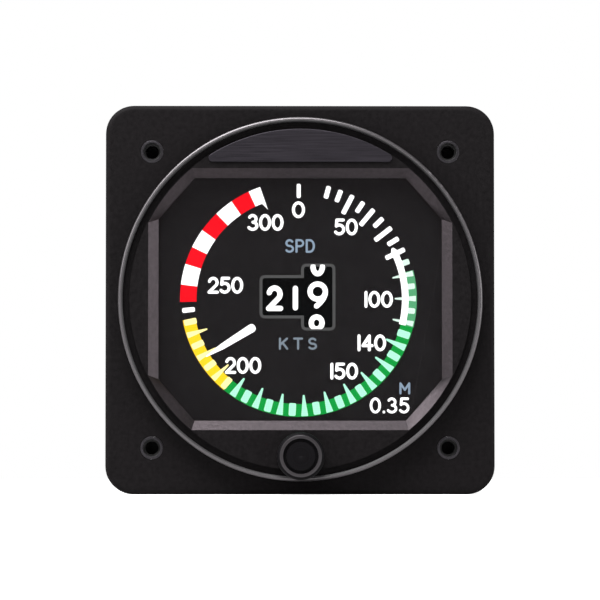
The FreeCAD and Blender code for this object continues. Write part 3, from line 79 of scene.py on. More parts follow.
# Where a stroke's round end has its points, as angles.
CAP_ANGLES = (25, 50, 70, 84)


def hex_channels(hex_code: str) -> list[int]:
    """Splits a hex colour into red, green and blue, each from 0 to 255."""
    return [int(hex_code[i:i + 2], 16) for i in (0, 2, 4)]


def linear_colour(hex_code: str) -> tuple[float, float, float, float]:
    """Turns an sRGB hex colour into the linear colour that a shader takes.

    Args:
        hex_code: six hex digits, such as "232021".

    Returns:
        Red, green, blue and an alpha of 1.
    """
    shares = [channel / 255 for channel in hex_channels(hex_code)]
    lit = [c / 12.92 if c <= 0.04045 else ((c + 0.055) / 1.055) ** 2.4 for c in shares]
    return lit[0], lit[1], lit[2], 1.0


def add_node(tree: Tree, kind: str, options: dict | None = None, values: dict | None = None,
             links: dict | None = None) -> bpy.types.Node:
    """Adds a node with its settings and links.

    Args:
        tree: the node tree to add to.
        kind: the node's type name.
        options: properties of the node itself.
        values: default values of its inputs, by name or number.
        links: output sockets to plug into its inputs, by name or number.

    Returns:
        The new node.
    """
    node = tree.nodes.new(kind)
    for name, option in (options or {}).items():
        setattr(node, name, option)
    for name, value in (values or {}).items():
        node.inputs[name].default_value = value
    for name, socket in (links or {}).items():
        tree.links.new(socket, node.inputs[name])
    return node


def fresh_tree(owner: bpy.types.ID) -> Tree:
    """Hands over the emptied node tree of a material or world.

    Args:
        owner: the material or world.

    Returns:
        Its tree.
    """
    owner.use_nodes = True
    owner.node_tree.nodes.clear()
    return owner.node_tree


def lathe_place(tree: Tree, axis: Point) -> tuple[Socket, Socket]:
    """Finds where a point of the surface lies round an axis along y.

    Args:
        tree: the material's node tree.
        axis: x and z of the axis.

    Returns:
        The distance from the axis and the depth along it, both in metres.
    """
    centred = add_node(tree, "ShaderNodeMapping", values={"Location": (-axis[0] * MM, 0, -axis[1] * MM)},
                       links={"Vector": add_node(tree, "ShaderNodeTexCoord").outputs["Object"]})
    parts = add_node(tree, "ShaderNodeSeparateXYZ", links={0: centred.outputs[0]})
    across = add_node(tree, "ShaderNodeCombineXYZ", links={0: parts.outputs[0], 2: parts.outputs[2]})
    radius = add_node(tree, "ShaderNodeVectorMath", {"operation": "LENGTH"}, links={0: across.outputs[0]})
    return radius.outputs["Value"], parts.outputs[1]


class Grain(Enum):
    """How a surface is broken up by the way it was made."""

    STIPPLE = "rounded specks of a sprayed or cast skin"
    BRUSHED = "fine scratches along x"
    TURNED = "rings left by a lathe around an axis along y"
    WOVEN = "glass cloth under resin"
    CLOUDED = "soft slow mottling"
    DOTTED = "square picture dots of a display"


@dataclass(frozen=True)
class Zone:
    """A part of a surface with a look of its own or painted shade, between two radii and two depths."""

    dark: str
    light: str
    radii: Point
    depths: Point
    rough: float
    metallic: float = 1.0

    def lay_over(self, tree: Tree, shader: bpy.types.Node, axis: Point) -> None:
        """Mixes the zone's look into a shader that has its plain look.

        Args:
            tree: the material's node tree.
            shader: the Principled node.
            axis: x and z of the axis that the radii start from.
        """
        tests = {
            i: add_node(tree, "ShaderNodeMath", {"operation": "COMPARE"},
                        {1: (low + high) / 2 * MM, 2: (high - low) / 2 * MM}, {0: at}).outputs[0]
            for i, (at, (low, high)) in enumerate(zip(lathe_place(tree, axis), (self.radii, self.depths)))
        }
        inside = add_node(tree, "ShaderNodeMath", {"operation": "MULTIPLY"}, links=tests).outputs[0]
        tone = shader.inputs["Base Color"].links[0].from_socket
        gloss = shader.inputs["Roughness"].links[0].from_socket
        grain = tone.node.inputs[0].links[0].from_socket
        bright = add_node(tree, "ShaderNodeMix", {"data_type": "RGBA"},
                          {6: linear_colour(self.dark), 7: linear_colour(self.light)}, {0: grain})
        mixes = (
            ("Base Color", "RGBA", 2, {}, {6: tone, 7: bright.outputs[2]}),
            ("Metallic", "FLOAT", 0, {2: shader.inputs["Metallic"].default_value, 3: self.metallic}, {}),
            ("Roughness", "FLOAT", 0, {3: self.rough}, {2: gloss}),
        )
        for name, kind, output, values, links in mixes:
            mixed = add_node(tree, "ShaderNodeMix", {"data_type": kind}, values, {0: inside, **links})
            tree.links.new(mixed.outputs[output], shader.inputs[name])


@dataclass(frozen=True)
class Finish:
    """One surface finish: what it is made of, its two tones and the pattern between them."""

    label: str
    dark: str
    light: str
    grain: Grain
    grain_mm: float
    rough: Point
    metallic: float = 0.0
    bump_mm: float = 0.0
    specular: float = 0.5
    axis: Point = (0.0, 0.0)
    glow: str = "ffffff"
    glow_strength: float = 0.0
    alpha: float = 1.0
    coat: float = 0.0
    zone: Zone | None = None

    def pattern(self, tree: Tree) -> Socket:
        """Builds the grain as a value from 0 to 1.

        Args:
            tree: the material's node tree.

        Returns:
            The socket that carries the grain.
        """
        place = add_node(tree, "ShaderNodeTexCoord").outputs["Object"]
        per_metre = 1 / (self.grain_mm * MM)
        if self.grain in (Grain.WOVEN, Grain.DOTTED):
            scale = per_metre * 2 * pi / WAVE_RADIANS
            threads = {
                i: add_node(tree, "ShaderNodeTexWave", {"bands_direction": way},
                            {"Scale": scale, "Distortion": 0.0}, {"Vector": place}).outputs["Fac"]
                for i, way in enumerate("XZ")
            }
            crossing = "MULTIPLY" if self.grain is Grain.WOVEN else "MAXIMUM"
            return add_node(tree, "ShaderNodeMath", {"operation": crossing}, links=threads).outputs[0]
        if self.grain is Grain.TURNED:
            radius, depth = lathe_place(tree, self.axis)
            place = add_node(tree, "ShaderNodeCombineXYZ", links={0: radius, 1: depth}).outputs[0]
        elif self.grain is Grain.BRUSHED:
            place = add_node(tree, "ShaderNodeMapping", values={"Scale": (SCRATCH_SHARE, 1.0, 1.0)},
                             links={"Vector": place}).outputs[0]
        detail = 1.0 if self.grain is Grain.CLOUDED else 4.0
        noise = add_node(tree, "ShaderNodeTexNoise", {"noise_dimensions": "3D"},
                         {"Scale": per_metre, "Detail": detail, "Roughness": 0.6}, {"Vector": place})
        return add_node(tree, "ShaderNodeMapRange",
                        values={"From Min": NOISE_SPAN[0], "From Max": NOISE_SPAN[1]},
                        links={"Value": noise.outputs[0]}).outputs[0]

    def material(self) -> bpy.types.Material:
        """Makes the finish's material once, for all that wear it.

        Returns:
            The material, with its tones, gloss and relief.
        """
        made = bpy.data.materials.get(self.label)
        if made:
            return made
        made = bpy.data.materials.new(self.label)
        tree = fresh_tree(made)
        grain = self.pattern(tree)
        tone = add_node(tree, "ShaderNodeMix", {"data_type": "RGBA"},
                        {6: linear_colour(self.dark), 7: linear_colour(self.light)}, {0: grain})
        gloss = add_node(tree, "ShaderNodeMapRange",
                         values={"To Min": self.rough[0], "To Max": self.rough[1]}, links={"Value": grain})
        numbers = {
            "Metallic": self.metallic, "Specular IOR Level": self.specular, "Alpha": self.alpha,
            "Coat Weight": self.coat, "Emission Color": linear_colour(self.glow),
            "Emission Strength": self.glow_strength,
        }
        shader = add_node(tree, "ShaderNodeBsdfPrincipled", values=numbers,
                          links={"Base Color": tone.outputs[2], "Roughness": gloss.outputs[0]})
        if self.bump_mm:
            relief = add_node(tree, "ShaderNodeBump",
                              values={"Strength": 1.0, "Distance": self.bump_mm * MM},
                              links={"Height": grain})
            tree.links.new(relief.outputs[0], shader.inputs["Normal"])
        if self.zone:
            self.zone.lay_over(tree, shader, self.axis)
        add_node(tree, "ShaderNodeOutputMaterial", links={"Surface": shader.outputs[0]})
        return made


SLOT_FINISHES: dict[str, Finish] = {
    # Sprayed on: near-black with a faint orange-peel mottle, and a smoother satin skin on the machined
    # slope around the window, which picks up the studio.
    "black_casting": Finish(
        "matt black enamel on cast aluminium", "0b090a", "131112", Grain.STIPPLE, 0.9, (0.55, 0.68),
        bump_mm=0.02, specular=0.05, zone=Zone("353133", "3d383b", (0.0, 36.02), (-3.38, -1.58), 0.4)),
    # Dark satin with faint lathe rings.
    "case_finish": Finish(
        "black anodised aluminium tube", "1b1b1d", "2b2b2e", Grain.TURNED, 0.45, (0.36, 0.5),
        metallic=0.35, bump_mm=0.006, specular=0.4),
    # Turned: grey glints where it faces the lamps. Its inner side is painted near-black and matt as
    # painted shade, so only the outer side and the crown shine.
    "ring_finish": Finish(
        "satin nickel ring", "504d4f", "646163", Grain.TURNED, 0.3, (0.34, 0.44), metallic=1.0,
        # Painted shade: this zone turns the ring's inner side matt near-black.
        bump_mm=0.004, zone=Zone("141214", "1d1b1d", (0.0, 37.88), (-5.0, 0.0), 0.6, 0.0)),
    # Brushed along its length: a shade lighter than the enamel.
    "plate_finish": Finish(
        "dark anodised aluminium sheet", "29272b", "353237", Grain.BRUSHED, 0.3, (0.42, 0.55),
        metallic=1.0, bump_mm=0.003),
    # A dull dark cap inside a rim that wear and turning have left brighter.
    "knob_finish": Finish(
        "black anodised turned aluminium knob", "070607", "0e0d0f", Grain.TURNED, 0.25, (0.45, 0.58),
        bump_mm=0.004, specular=0.035, axis=KNOB_AXIS,
        zone=Zone("3a383a", "454244", (3.72, 4.4), (-13.0, -4.0), 0.38)),
    # An oily dark sheen on the burnished mouths. Below them the bore is painted near-black and matt as
    # painted shade, so the holes look black.
    "insert_steel": Finish(
        "blackened steel liner", "302e31", "403e41", Grain.STIPPLE, 0.3, (0.34, 0.46), metallic=1.0,
        # Painted shade: this zone turns the bore below the mouths matt near-black.
        bump_mm=0.003, zone=Zone("040304", "070607", (42.6, 46.3), (0.06, 12.0), 0.75, 0.0)),
    # Cool grey with a slightly milky gloss.
    "screw_steel": Finish(
        "zinc plated steel screw", "8a8b8d", "a9aaab", Grain.CLOUDED, 1.2, (0.28, 0.42), metallic=1.0),
    # Bright, with fine turning marks.
    "shaft_steel": Finish(
        "ground stainless steel", "9c9c9a", "b9b9b6", Grain.TURNED, 0.15, (0.2, 0.3), metallic=1.0,
        bump_mm=0.002, axis=KNOB_AXIS),
    # Handled and slightly dulled.
    "brass": Finish(
        "machined brass", "8f7236", "b4954f", Grain.CLOUDED, 2.5, (0.26, 0.42), metallic=1.0,
        bump_mm=0.002),
    # Matt charcoal with a dusty bloom.
    "seal_rubber": Finish(
        "moulded nitrile rubber", "141415", "202021", Grain.STIPPLE, 0.4, (0.72, 0.88), bump_mm=0.01,
        specular=0.3),
    # Almost invisible from the front, with a faint cold sheen at an angle.
    "window_glass": Finish(
        "anti reflection coated glass", "101214", "16181b", Grain.CLOUDED, 14.0, (0.06, 0.12),
        specular=0.07, alpha=0.08),
    # Thin glass with its dark cell behind it.
    "display_glass": Finish(
        "liquid crystal display glass", "0b0c0e", "101114", Grain.CLOUDED, 6.0, (0.12, 0.2),
        specular=0.3),
    # The backlight never goes fully dark: charcoal with a faint glow.
    "film": Finish(
        "polarising film over a dim backlight", "0c0b0c", "141314", Grain.CLOUDED, 1.6, (0.5, 0.62),
        specular=0.1, glow="1d1a1b", glow_strength=0.75),
    # Moulded: black, slightly streaky, semi-matt.
    "moulded_black": Finish(
        "glass filled black nylon", "151517", "242426", Grain.STIPPLE, 0.35, (0.42, 0.58),
        bump_mm=0.006, specular=0.4),
    # The cloth shows under the green lacquer as a fine check.
    "board_laminate": Finish(
        "lacquered glass epoxy board", "0d3d22", "176237", Grain.WOVEN, 0.8, (0.24, 0.4),
        bump_mm=0.004, coat=0.3),
    # Clear amber with a low gloss.
    "flex_film": Finish(
        "amber polyimide film", "8c4f14", "b9762b", Grain.BRUSHED, 0.5, (0.3, 0.42), specular=0.45),
    # Chemically cleaned and brushed in one direction.
    "plain_aluminium": Finish(
        "brushed aluminium", "9fa1a3", "c3c4c5", Grain.BRUSHED, 0.2, (0.3, 0.44), metallic=1.0,
        bump_mm=0.003),
    # Yellow-brown, with soft edges showing through.
    "winding": Finish(
        "varnished winding tape", "7a5317", "a87a2c", Grain.BRUSHED, 0.6, (0.34, 0.5), coat=0.3),
    # Chromate over cadmium, as circular connectors have: a dull olive.
    "connector_plating": Finish(
        "olive drab plated connector", "4c4b2c", "67653f", Grain.CLOUDED, 1.8, (0.38, 0.52),
        metallic=0.7, bump_mm=0.003, specular=0.4),
    # Hard gold over nickel: warm and bright.
    "gold_plating": Finish(
        "gold plated contact", "c79a36", "e3bf62", Grain.TURNED, 0.1, (0.16, 0.26), metallic=1.0),
    # Extruded: white with a waxy gloss.
    "wire_cover": Finish(
        "white fluoropolymer wire cover", "d3d2cb", "e9e8e2", Grain.CLOUDED, 1.5, (0.28, 0.4)),
}
# Moulded finer and duller than the nylon.
CHIP_EPOXY = Finish(
    "black epoxy chip moulding", "1b1b1c", "29292b", Grain.STIPPLE, 0.12, (0.5, 0.64), bump_mm=0.003,
    specular=0.4)
NODE_FINISHES: dict[str, Finish] = {
    # Milk-white, matt and even.
    "diffuser_sheet": Finish(
        "white diffusing film", "dfe0dc", "eeeeea", Grain.STIPPLE, 0.2, (0.6, 0.75), specular=0.3),
    # Clear, with printed scatter dots on its back.
    "light_guide": Finish(
        "dotted acrylic light guide", "cfd8d6", "e6eeeb", Grain.DOTTED, 1.0, (0.1, 0.25), coat=0.3),
    "driver_chips": CHIP_EPOXY,
    "processor_chips": CHIP_EPOXY,
}


def lit_image(colour: str, shade: str, strength: float) -> Finish:
    """Makes the finish of a lit shape in the display.

    Args:
        colour: what the colour is called.
        shade: its sRGB hex value as seen through the window.
        strength: share of it that the backlight gives; the rest comes from the dots' own tone.

    Returns:
        The finish.
    """
    dim, bright = ("".join(f"{round(c * share):02x}" for c in hex_channels(shade)) for share in DOT_SHARES)
    return Finish(f"lit {colour} picture", dim, bright, Grain.DOTTED, PICTURE_DOT, PICTURE_GLOSS,
                  specular=0.05, glow=shade, glow_strength=strength)


WHITE_IMAGE = lit_image("white", "ffffff", 1.3)
UNLIT_IMAGE = Finish("unlit black picture", "020202", "040404", Grain.DOTTED, PICTURE_DOT, PICTURE_GLOSS,
                     specular=0.02)


def take_up(piece: Piece) -> None:
    """Selects one piece alone and makes it active.

    Args:
        piece: the piece.
    """
    bpy.ops.object.select_all(action="DESELECT")
    piece.select_set(True)
    bpy.context.view_layer.objects.active = piece


@contextmanager
def bench(piece: Piece, whole: bool = False) -> Iterator[None]:
    """Opens a piece in edit mode, and closes it again.

    Args:
        piece: the piece.
        whole: whether all of it is selected at first, or nothing.
    """
    take_up(piece)
    bpy.ops.object.mode_set(mode="EDIT")
    bpy.ops.mesh.select_mode(type="VERT")
    bpy.ops.mesh.select_all(action="SELECT" if whole else "DESELECT")
    yield
    bpy.ops.object.mode_set(mode="OBJECT")


class Part(Enum):
    """What is picked on the bench."""

    VERT = "verts"
    EDGE = "edges"
    FACE = "faces"


def pick(piece: Piece, part: Part, wanted: Callable[..., bool]) -> None:
    """Selects only what passes a test, on a piece that is on the bench.

    Args:
        piece: the open piece.
        part: what to select.
        wanted: the test.
    """
    bpy.ops.mesh.select_all(action="DESELECT")
    bpy.ops.mesh.select_mode(type=part.name)
    shape = bmesh.from_edit_mesh(piece.data)
    for one in getattr(shape, part.value):
        if wanted(one):
            one.select_set(True)
    shape.select_flush_mode()
    bmesh.update_edit_mesh(piece.data)


def close_up(piece: Piece) -> None:
    """Merges doubled points and turns every face outwards.

    Args:
        piece: the piece.
    """
    with bench(piece, whole=True):
        bpy.ops.mesh.remove_doubles(threshold=1e-7)
        bpy.ops.mesh.normals_make_consistent(inside=False)


def turn_about(piece: Piece, degrees: float, centre: Point = DIAL_CENTRE) -> Piece:
    """Turns a piece's mesh clockwise, as the pilot sees it.

    Args:
        piece: the piece.
        degrees: how far to turn.
        centre: x and z of the axis to turn about.

    Returns:
        The same piece.
    """
    middle = Vector((centre[0] * MM, 0, centre[1] * MM))
    turn = Matrix.Rotation(radians(degrees), 4, "Y")
    piece.data.transform(Matrix.Translation(middle) @ turn @ Matrix.Translation(-middle))
    return piece


def copy_of(piece: Piece) -> Piece:
    """Copies a piece with its own mesh.

    Args:
        piece: the piece to copy.

    Returns:
        The copy.
    """
    twin = piece.copy()
    twin.data = piece.data.copy()
    bpy.context.scene.collection.objects.link(twin)
    return twin


def join(pieces: Sequence[Piece]) -> Piece:
    """Joins pieces into the first one.

    Args:
        pieces: the pieces to join.

    Returns:
        The joined piece.
    """
    bpy.ops.object.select_all(action="DESELECT")
    for piece in pieces:
        piece.select_set(True)
    bpy.context.view_layer.objects.active = pieces[0]
    bpy.ops.object.join()
    return pieces[0]


def mount(piece: Piece, name: str, finish: Finish) -> None:
    """Names and dresses a new piece, sets it on the fixed body and reports it.

    Args:
        piece: the finished shape.
        name: its name.
        finish: the finish it wears.
    """
    piece.name = piece.data.name = name
    piece.data.materials.clear()
    piece.data.materials.append(finish.material())
    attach(piece, "root")
    log.info("%s: %d faces, %s", name, len(piece.data.polygons), finish.label)


@dataclass(frozen=True)
class PictureLayer:
    """A thin layer of the display's picture, between two depths behind the panel's face."""

    front: float
    back: float = 1.09

    @property
    def middle(self) -> float:
        """Depth half way through the layer."""
        return (self.front + self.back) / 2

    @property
    def thickness(self) -> float:
        """Thickness of the layer."""
        return self.back - self.front


BASE_LAYER, FIELD_LAYER, MARK_LAYER, TEXT_LAYER, POINTER_LAYER = map(
    PictureLayer, (1.07, 1.06, 1.05, 1.035, 1.02))


def slab(across: Point, upright: Point, layer: PictureLayer) -> Piece:
    """Adds a rectangular slab of the picture, ready to be shaped.

    Args:
        across: its lowest and highest x.
        upright: its lowest and highest z.
        layer: the depths that it fills.

    Returns:
        The slab.
    """
    bpy.ops.object.select_all(action="DESELECT")
    middle = (sum(across) / 2 * MM, layer.middle * MM, sum(upright) / 2 * MM)
    bpy.ops.mesh.primitive_cube_add(size=1, location=middle)
    piece = bpy.context.object
    piece.scale = ((across[1] - across[0]) * MM, layer.thickness * MM, (upright[1] - upright[0]) * MM)
    bpy.ops.object.transform_apply()
    return piece


def turned_bar(radius: float, ends: Point, centre: Point, points: int = 48) -> Piece:
    """Adds a round bar along y, ready to be shaped.

    Args:
        radius: its radius.
        ends: y of its two ends.
        centre: x and z of its axis.
        points: how many points its rim has.

    Returns:
        The bar.
    """
    bpy.ops.object.select_all(action="DESELECT")
    bpy.ops.mesh.primitive_cylinder_add(
        vertices=points, radius=radius * MM, depth=(ends[1] - ends[0]) * MM, rotation=(pi / 2, 0, 0),
        location=(centre[0] * MM, sum(ends) / 2 * MM, centre[1] * MM))
    bpy.ops.object.transform_apply()
    return bpy.context.object


def swept_band(radii: Point, angles: Point, layer: PictureLayer) -> Piece:
    """Spins a thin section into a sector of a ring on the dial.

    Args:
        radii: its inner and outer radius.
        angles: its first and last angle.
        layer: the depths that it fills.

    Returns:
        The closed sector.
    """
    bpy.ops.object.select_all(action="DESELECT")
    centre = Vector((DIAL_CENTRE[0], layer.middle, DIAL_CENTRE[1])) * MM
    bpy.ops.mesh.primitive_plane_add(size=1, location=centre + Vector((sum(radii) / 2 * MM, 0, 0)))
    piece = bpy.context.object
    piece.scale = ((radii[1] - radii[0]) * MM, layer.thickness * MM, 1)
    bpy.ops.object.transform_apply()
    sweep = angles[1] - angles[0]
    with bench(piece, whole=True):
        bpy.ops.mesh.spin(steps=max(2, round(sweep / 2)), angle=radians(sweep), center=centre,
                          axis=(0, 1, 0), use_auto_merge=False)
    close_up(piece)
    # The section starts at the dial's right side, and the spin takes it anticlockwise from there.
    return turn_about(piece, angles[1] - 90)


def round_corners(piece: Piece, radius: float, segments: int = 4) -> None:
    """Rounds the outward corners of a flat piece.

    Args:
        piece: the piece.
        radius: how round the corners get.
        segments: how many faces each gets.
    """
    with bench(piece):
        pick(piece, Part.EDGE, lambda edge: edge.is_convex and abs(
            (edge.verts[0].co - edge.verts[1].co).normalized().y) > 0.99)
        bpy.ops.mesh.bevel(offset=radius * MM, segments=segments, affect="EDGES")


class Keep(Enum):
    """What a level cut leaves."""

    BELOW = "lower side"
    ABOVE = "upper side"
    BOTH = "both sides"


def cut_level(piece: Piece, height: float, keep: Keep) -> None:
    """Cuts a piece level at a height, and closes the cut where a side goes.

    Args:
        piece: the piece to cut.
        height: z of the cut.
        keep: which side stays.
    """
    with bench(piece, whole=True):
        bpy.ops.mesh.bisect(
            plane_co=(0, 0, height * MM), plane_no=(0, 0, 1), use_fill=keep is not Keep.BOTH,
            clear_outer=keep is Keep.BELOW, clear_inner=keep is Keep.ABOVE)


def arc(cx: float, cz: float, rx: float, rz: float, start: float, end: float) -> Stroke:
    """Samples part of an ellipse, every 15 degrees or so.

    Args:
        cx: x of its centre.
        cz: z of its centre.
        rx: its radius across.
        rz: its radius upwards.
        start: first angle, anticlockwise from the right.
        end: last angle.

    Returns:
        The points.
    """
    steps = max(3, round(abs(end - start) / 15))
    turns = [radians(start + (end - start) * i / steps) for i in range(steps + 1)]
    return [(cx + rx * cos(t), cz + rz * sin(t)) for t in turns]


STEM: Stroke = [(0, 0), (0, 1)]
# A plain rounded single-stroke face: each sign's width and its strokes' middle lines, on a height of 1.
GLYPHS: dict[str, tuple[float, list[Stroke]]] = {
    "0": (0.65, [arc(0.325, 0.5, 0.325, 0.5, 0, 360)]),
    "1": (0.06, [[(0.03, 0), (0.03, 1)]]),
    "2": (0.6, [arc(0.3, 0.7, 0.28, 0.3, 165, -35) + [(0, 0)], [(0, 0), (0.6, 0)]]),
    "3": (0.6, [arc(0.28, 0.75, 0.25, 0.25, 150, -80), arc(0.28, 0.26, 0.31, 0.26, 85, -150)]),
    "4": (0.66, [[(0.46, 0), (0.46, 1)], [(0.46, 1), (0, 0.3)], [(0, 0.3), (0.66, 0.3)]]),
    "5": (0.6, [[(0.56, 1), (0.1, 1)], [(0.1, 1), (0.06, 0.56)],
                arc(0.27, 0.32, 0.32, 0.32, 130, -145)]),
    "8": (0.64, [arc(0.32, 0.76, 0.25, 0.24, 0, 360), arc(0.32, 0.27, 0.32, 0.27, 0, 360)]),
    "9": (0.7, [arc(0.35, 0.655, 0.35, 0.345, 0, 360),
                [(0.7, 0.655), (0.68, 0.5), (0.6, 0.32), (0.46, 0.14), (0.3, 0)]]),
    ".": (0, [[(0, 0), (0, 0.02)]]),
    "D": (0.62, [STEM, [(0, 1)] + arc(0.27, 0.5, 0.35, 0.5, 90, -90) + [(0, 0)]]),
    "K": (0.62, [STEM, [(0.6, 1), (0.02, 0.4)], [(0.22, 0.6), (0.62, 0)]]),
    "M": (0.8, [STEM, [(0, 1), (0.4, 0.35)], [(0.4, 0.35), (0.8, 1)], [(0.8, 1), (0.8, 0)]]),
    "P": (0.58, [STEM, [(0, 1)] + arc(0.3, 0.74, 0.28, 0.26, 90, -90) + [(0, 0.48)]]),
    "S": (0.6, [arc(0.3, 0.75, 0.27, 0.25, 30, 270) + arc(0.3, 0.25, 0.3, 0.25, 90, -150)[1:]]),
    "T": (0.66, [[(0, 1), (0.66, 1)], [(0.33, 1), (0.33, 0)]]),
}


@dataclass(frozen=True)
class Writing:
    """Figures or a short mark: its signs, middle, height, the room between signs and its stretch."""

    text: str
    centre: Point
    height: float
    gap: float = 0.0
    widen: float = 1.0

    def strokes(self) -> list[Stroke]:
        """Places the strokes' middle lines.

        Returns:
            The strokes of all signs.
        """
        stretch = self.height * self.widen
        widths = [GLYPHS[sign][0] * stretch for sign in self.text]
        pen = self.centre[0] - (sum(widths) + self.gap * (len(self.text) - 1)) / 2
        placed: list[Stroke] = []
        for sign, width in zip(self.text, widths):
            for line in GLYPHS[sign][1]:
                placed.append([(pen + x * stretch, self.centre[1] + (z - 0.5) * self.height)
                               for x, z in line])
            pen += width + self.gap
        return placed


def draw(writings: Sequence[Writing], width: float) -> Piece:
    """Draws writing with round-ended strokes, as one flat mesh.

    Args:
        writings: what to draw.
        width: the strokes' width.

    Returns:
        The mesh piece.
    """
    radius = width / 2
    curve = bpy.data.curves.new("strokes", "CURVE")
    curve.dimensions = "3D"
    curve.bevel_depth = radius * MM
    curve.bevel_resolution = 2
    curve.use_fill_caps = True
    for stroke in (stroke for writing in writings for stroke in writing.strokes()):
        ring = dist(stroke[0], stroke[-1]) < 1e-6
        points = [(x, z, 1.0) for x, z in (stroke[:-1] if ring else stroke)]
        for end, inner in () if ring else ((0, 1), (-1, -2)):
            way = (Vector(stroke[end]) - Vector(stroke[inner])).normalized() * radius
            cap = [(stroke[end][0] + way.x * sin(t), stroke[end][1] + way.y * sin(t), cos(t))
                   for t in map(radians, CAP_ANGLES)]
            points = points + cap if end else cap[::-1] + points
        spline = curve.splines.new("POLY")
        spline.points.add(len(points) - 1)
        spline.use_cyclic_u = ring
        for knot, (x, z, share) in zip(spline.points, points):
            knot.co = (x * MM, TEXT_LAYER.middle * MM, z * MM, 1)
            knot.radius = share
    piece = bpy.data.objects.new("strokes", curve)
    bpy.context.scene.collection.objects.link(piece)
    take_up(piece)
    bpy.ops.object.convert(target="MESH")
    piece = bpy.context.object
    with bench(piece, whole=True):
        bpy.ops.transform.resize(value=(1, TEXT_LAYER.thickness / width, 1),
                                 center_override=(0, TEXT_LAYER.middle * MM, 0))
    close_up(piece)
    return piece


def on_dial(radius: float, degrees: float) -> Vector:
    """Finds a place on the dial, in metres, from its radius and angle."""
    way = Vector((sin(radians(degrees)), 0, cos(radians(degrees))))
    return (Vector((DIAL_CENTRE[0], 0, DIAL_CENTRE[1])) + way * radius) * MM


def pick_near(piece: Piece, place: Vector, reach: float) -> None:
    """Selects the points of an open piece within a reach of a place, at any depth."""
    pick(piece, Part.VERT, lambda v: hypot(v.co.x - place.x, v.co.z - place.z) < reach * MM)


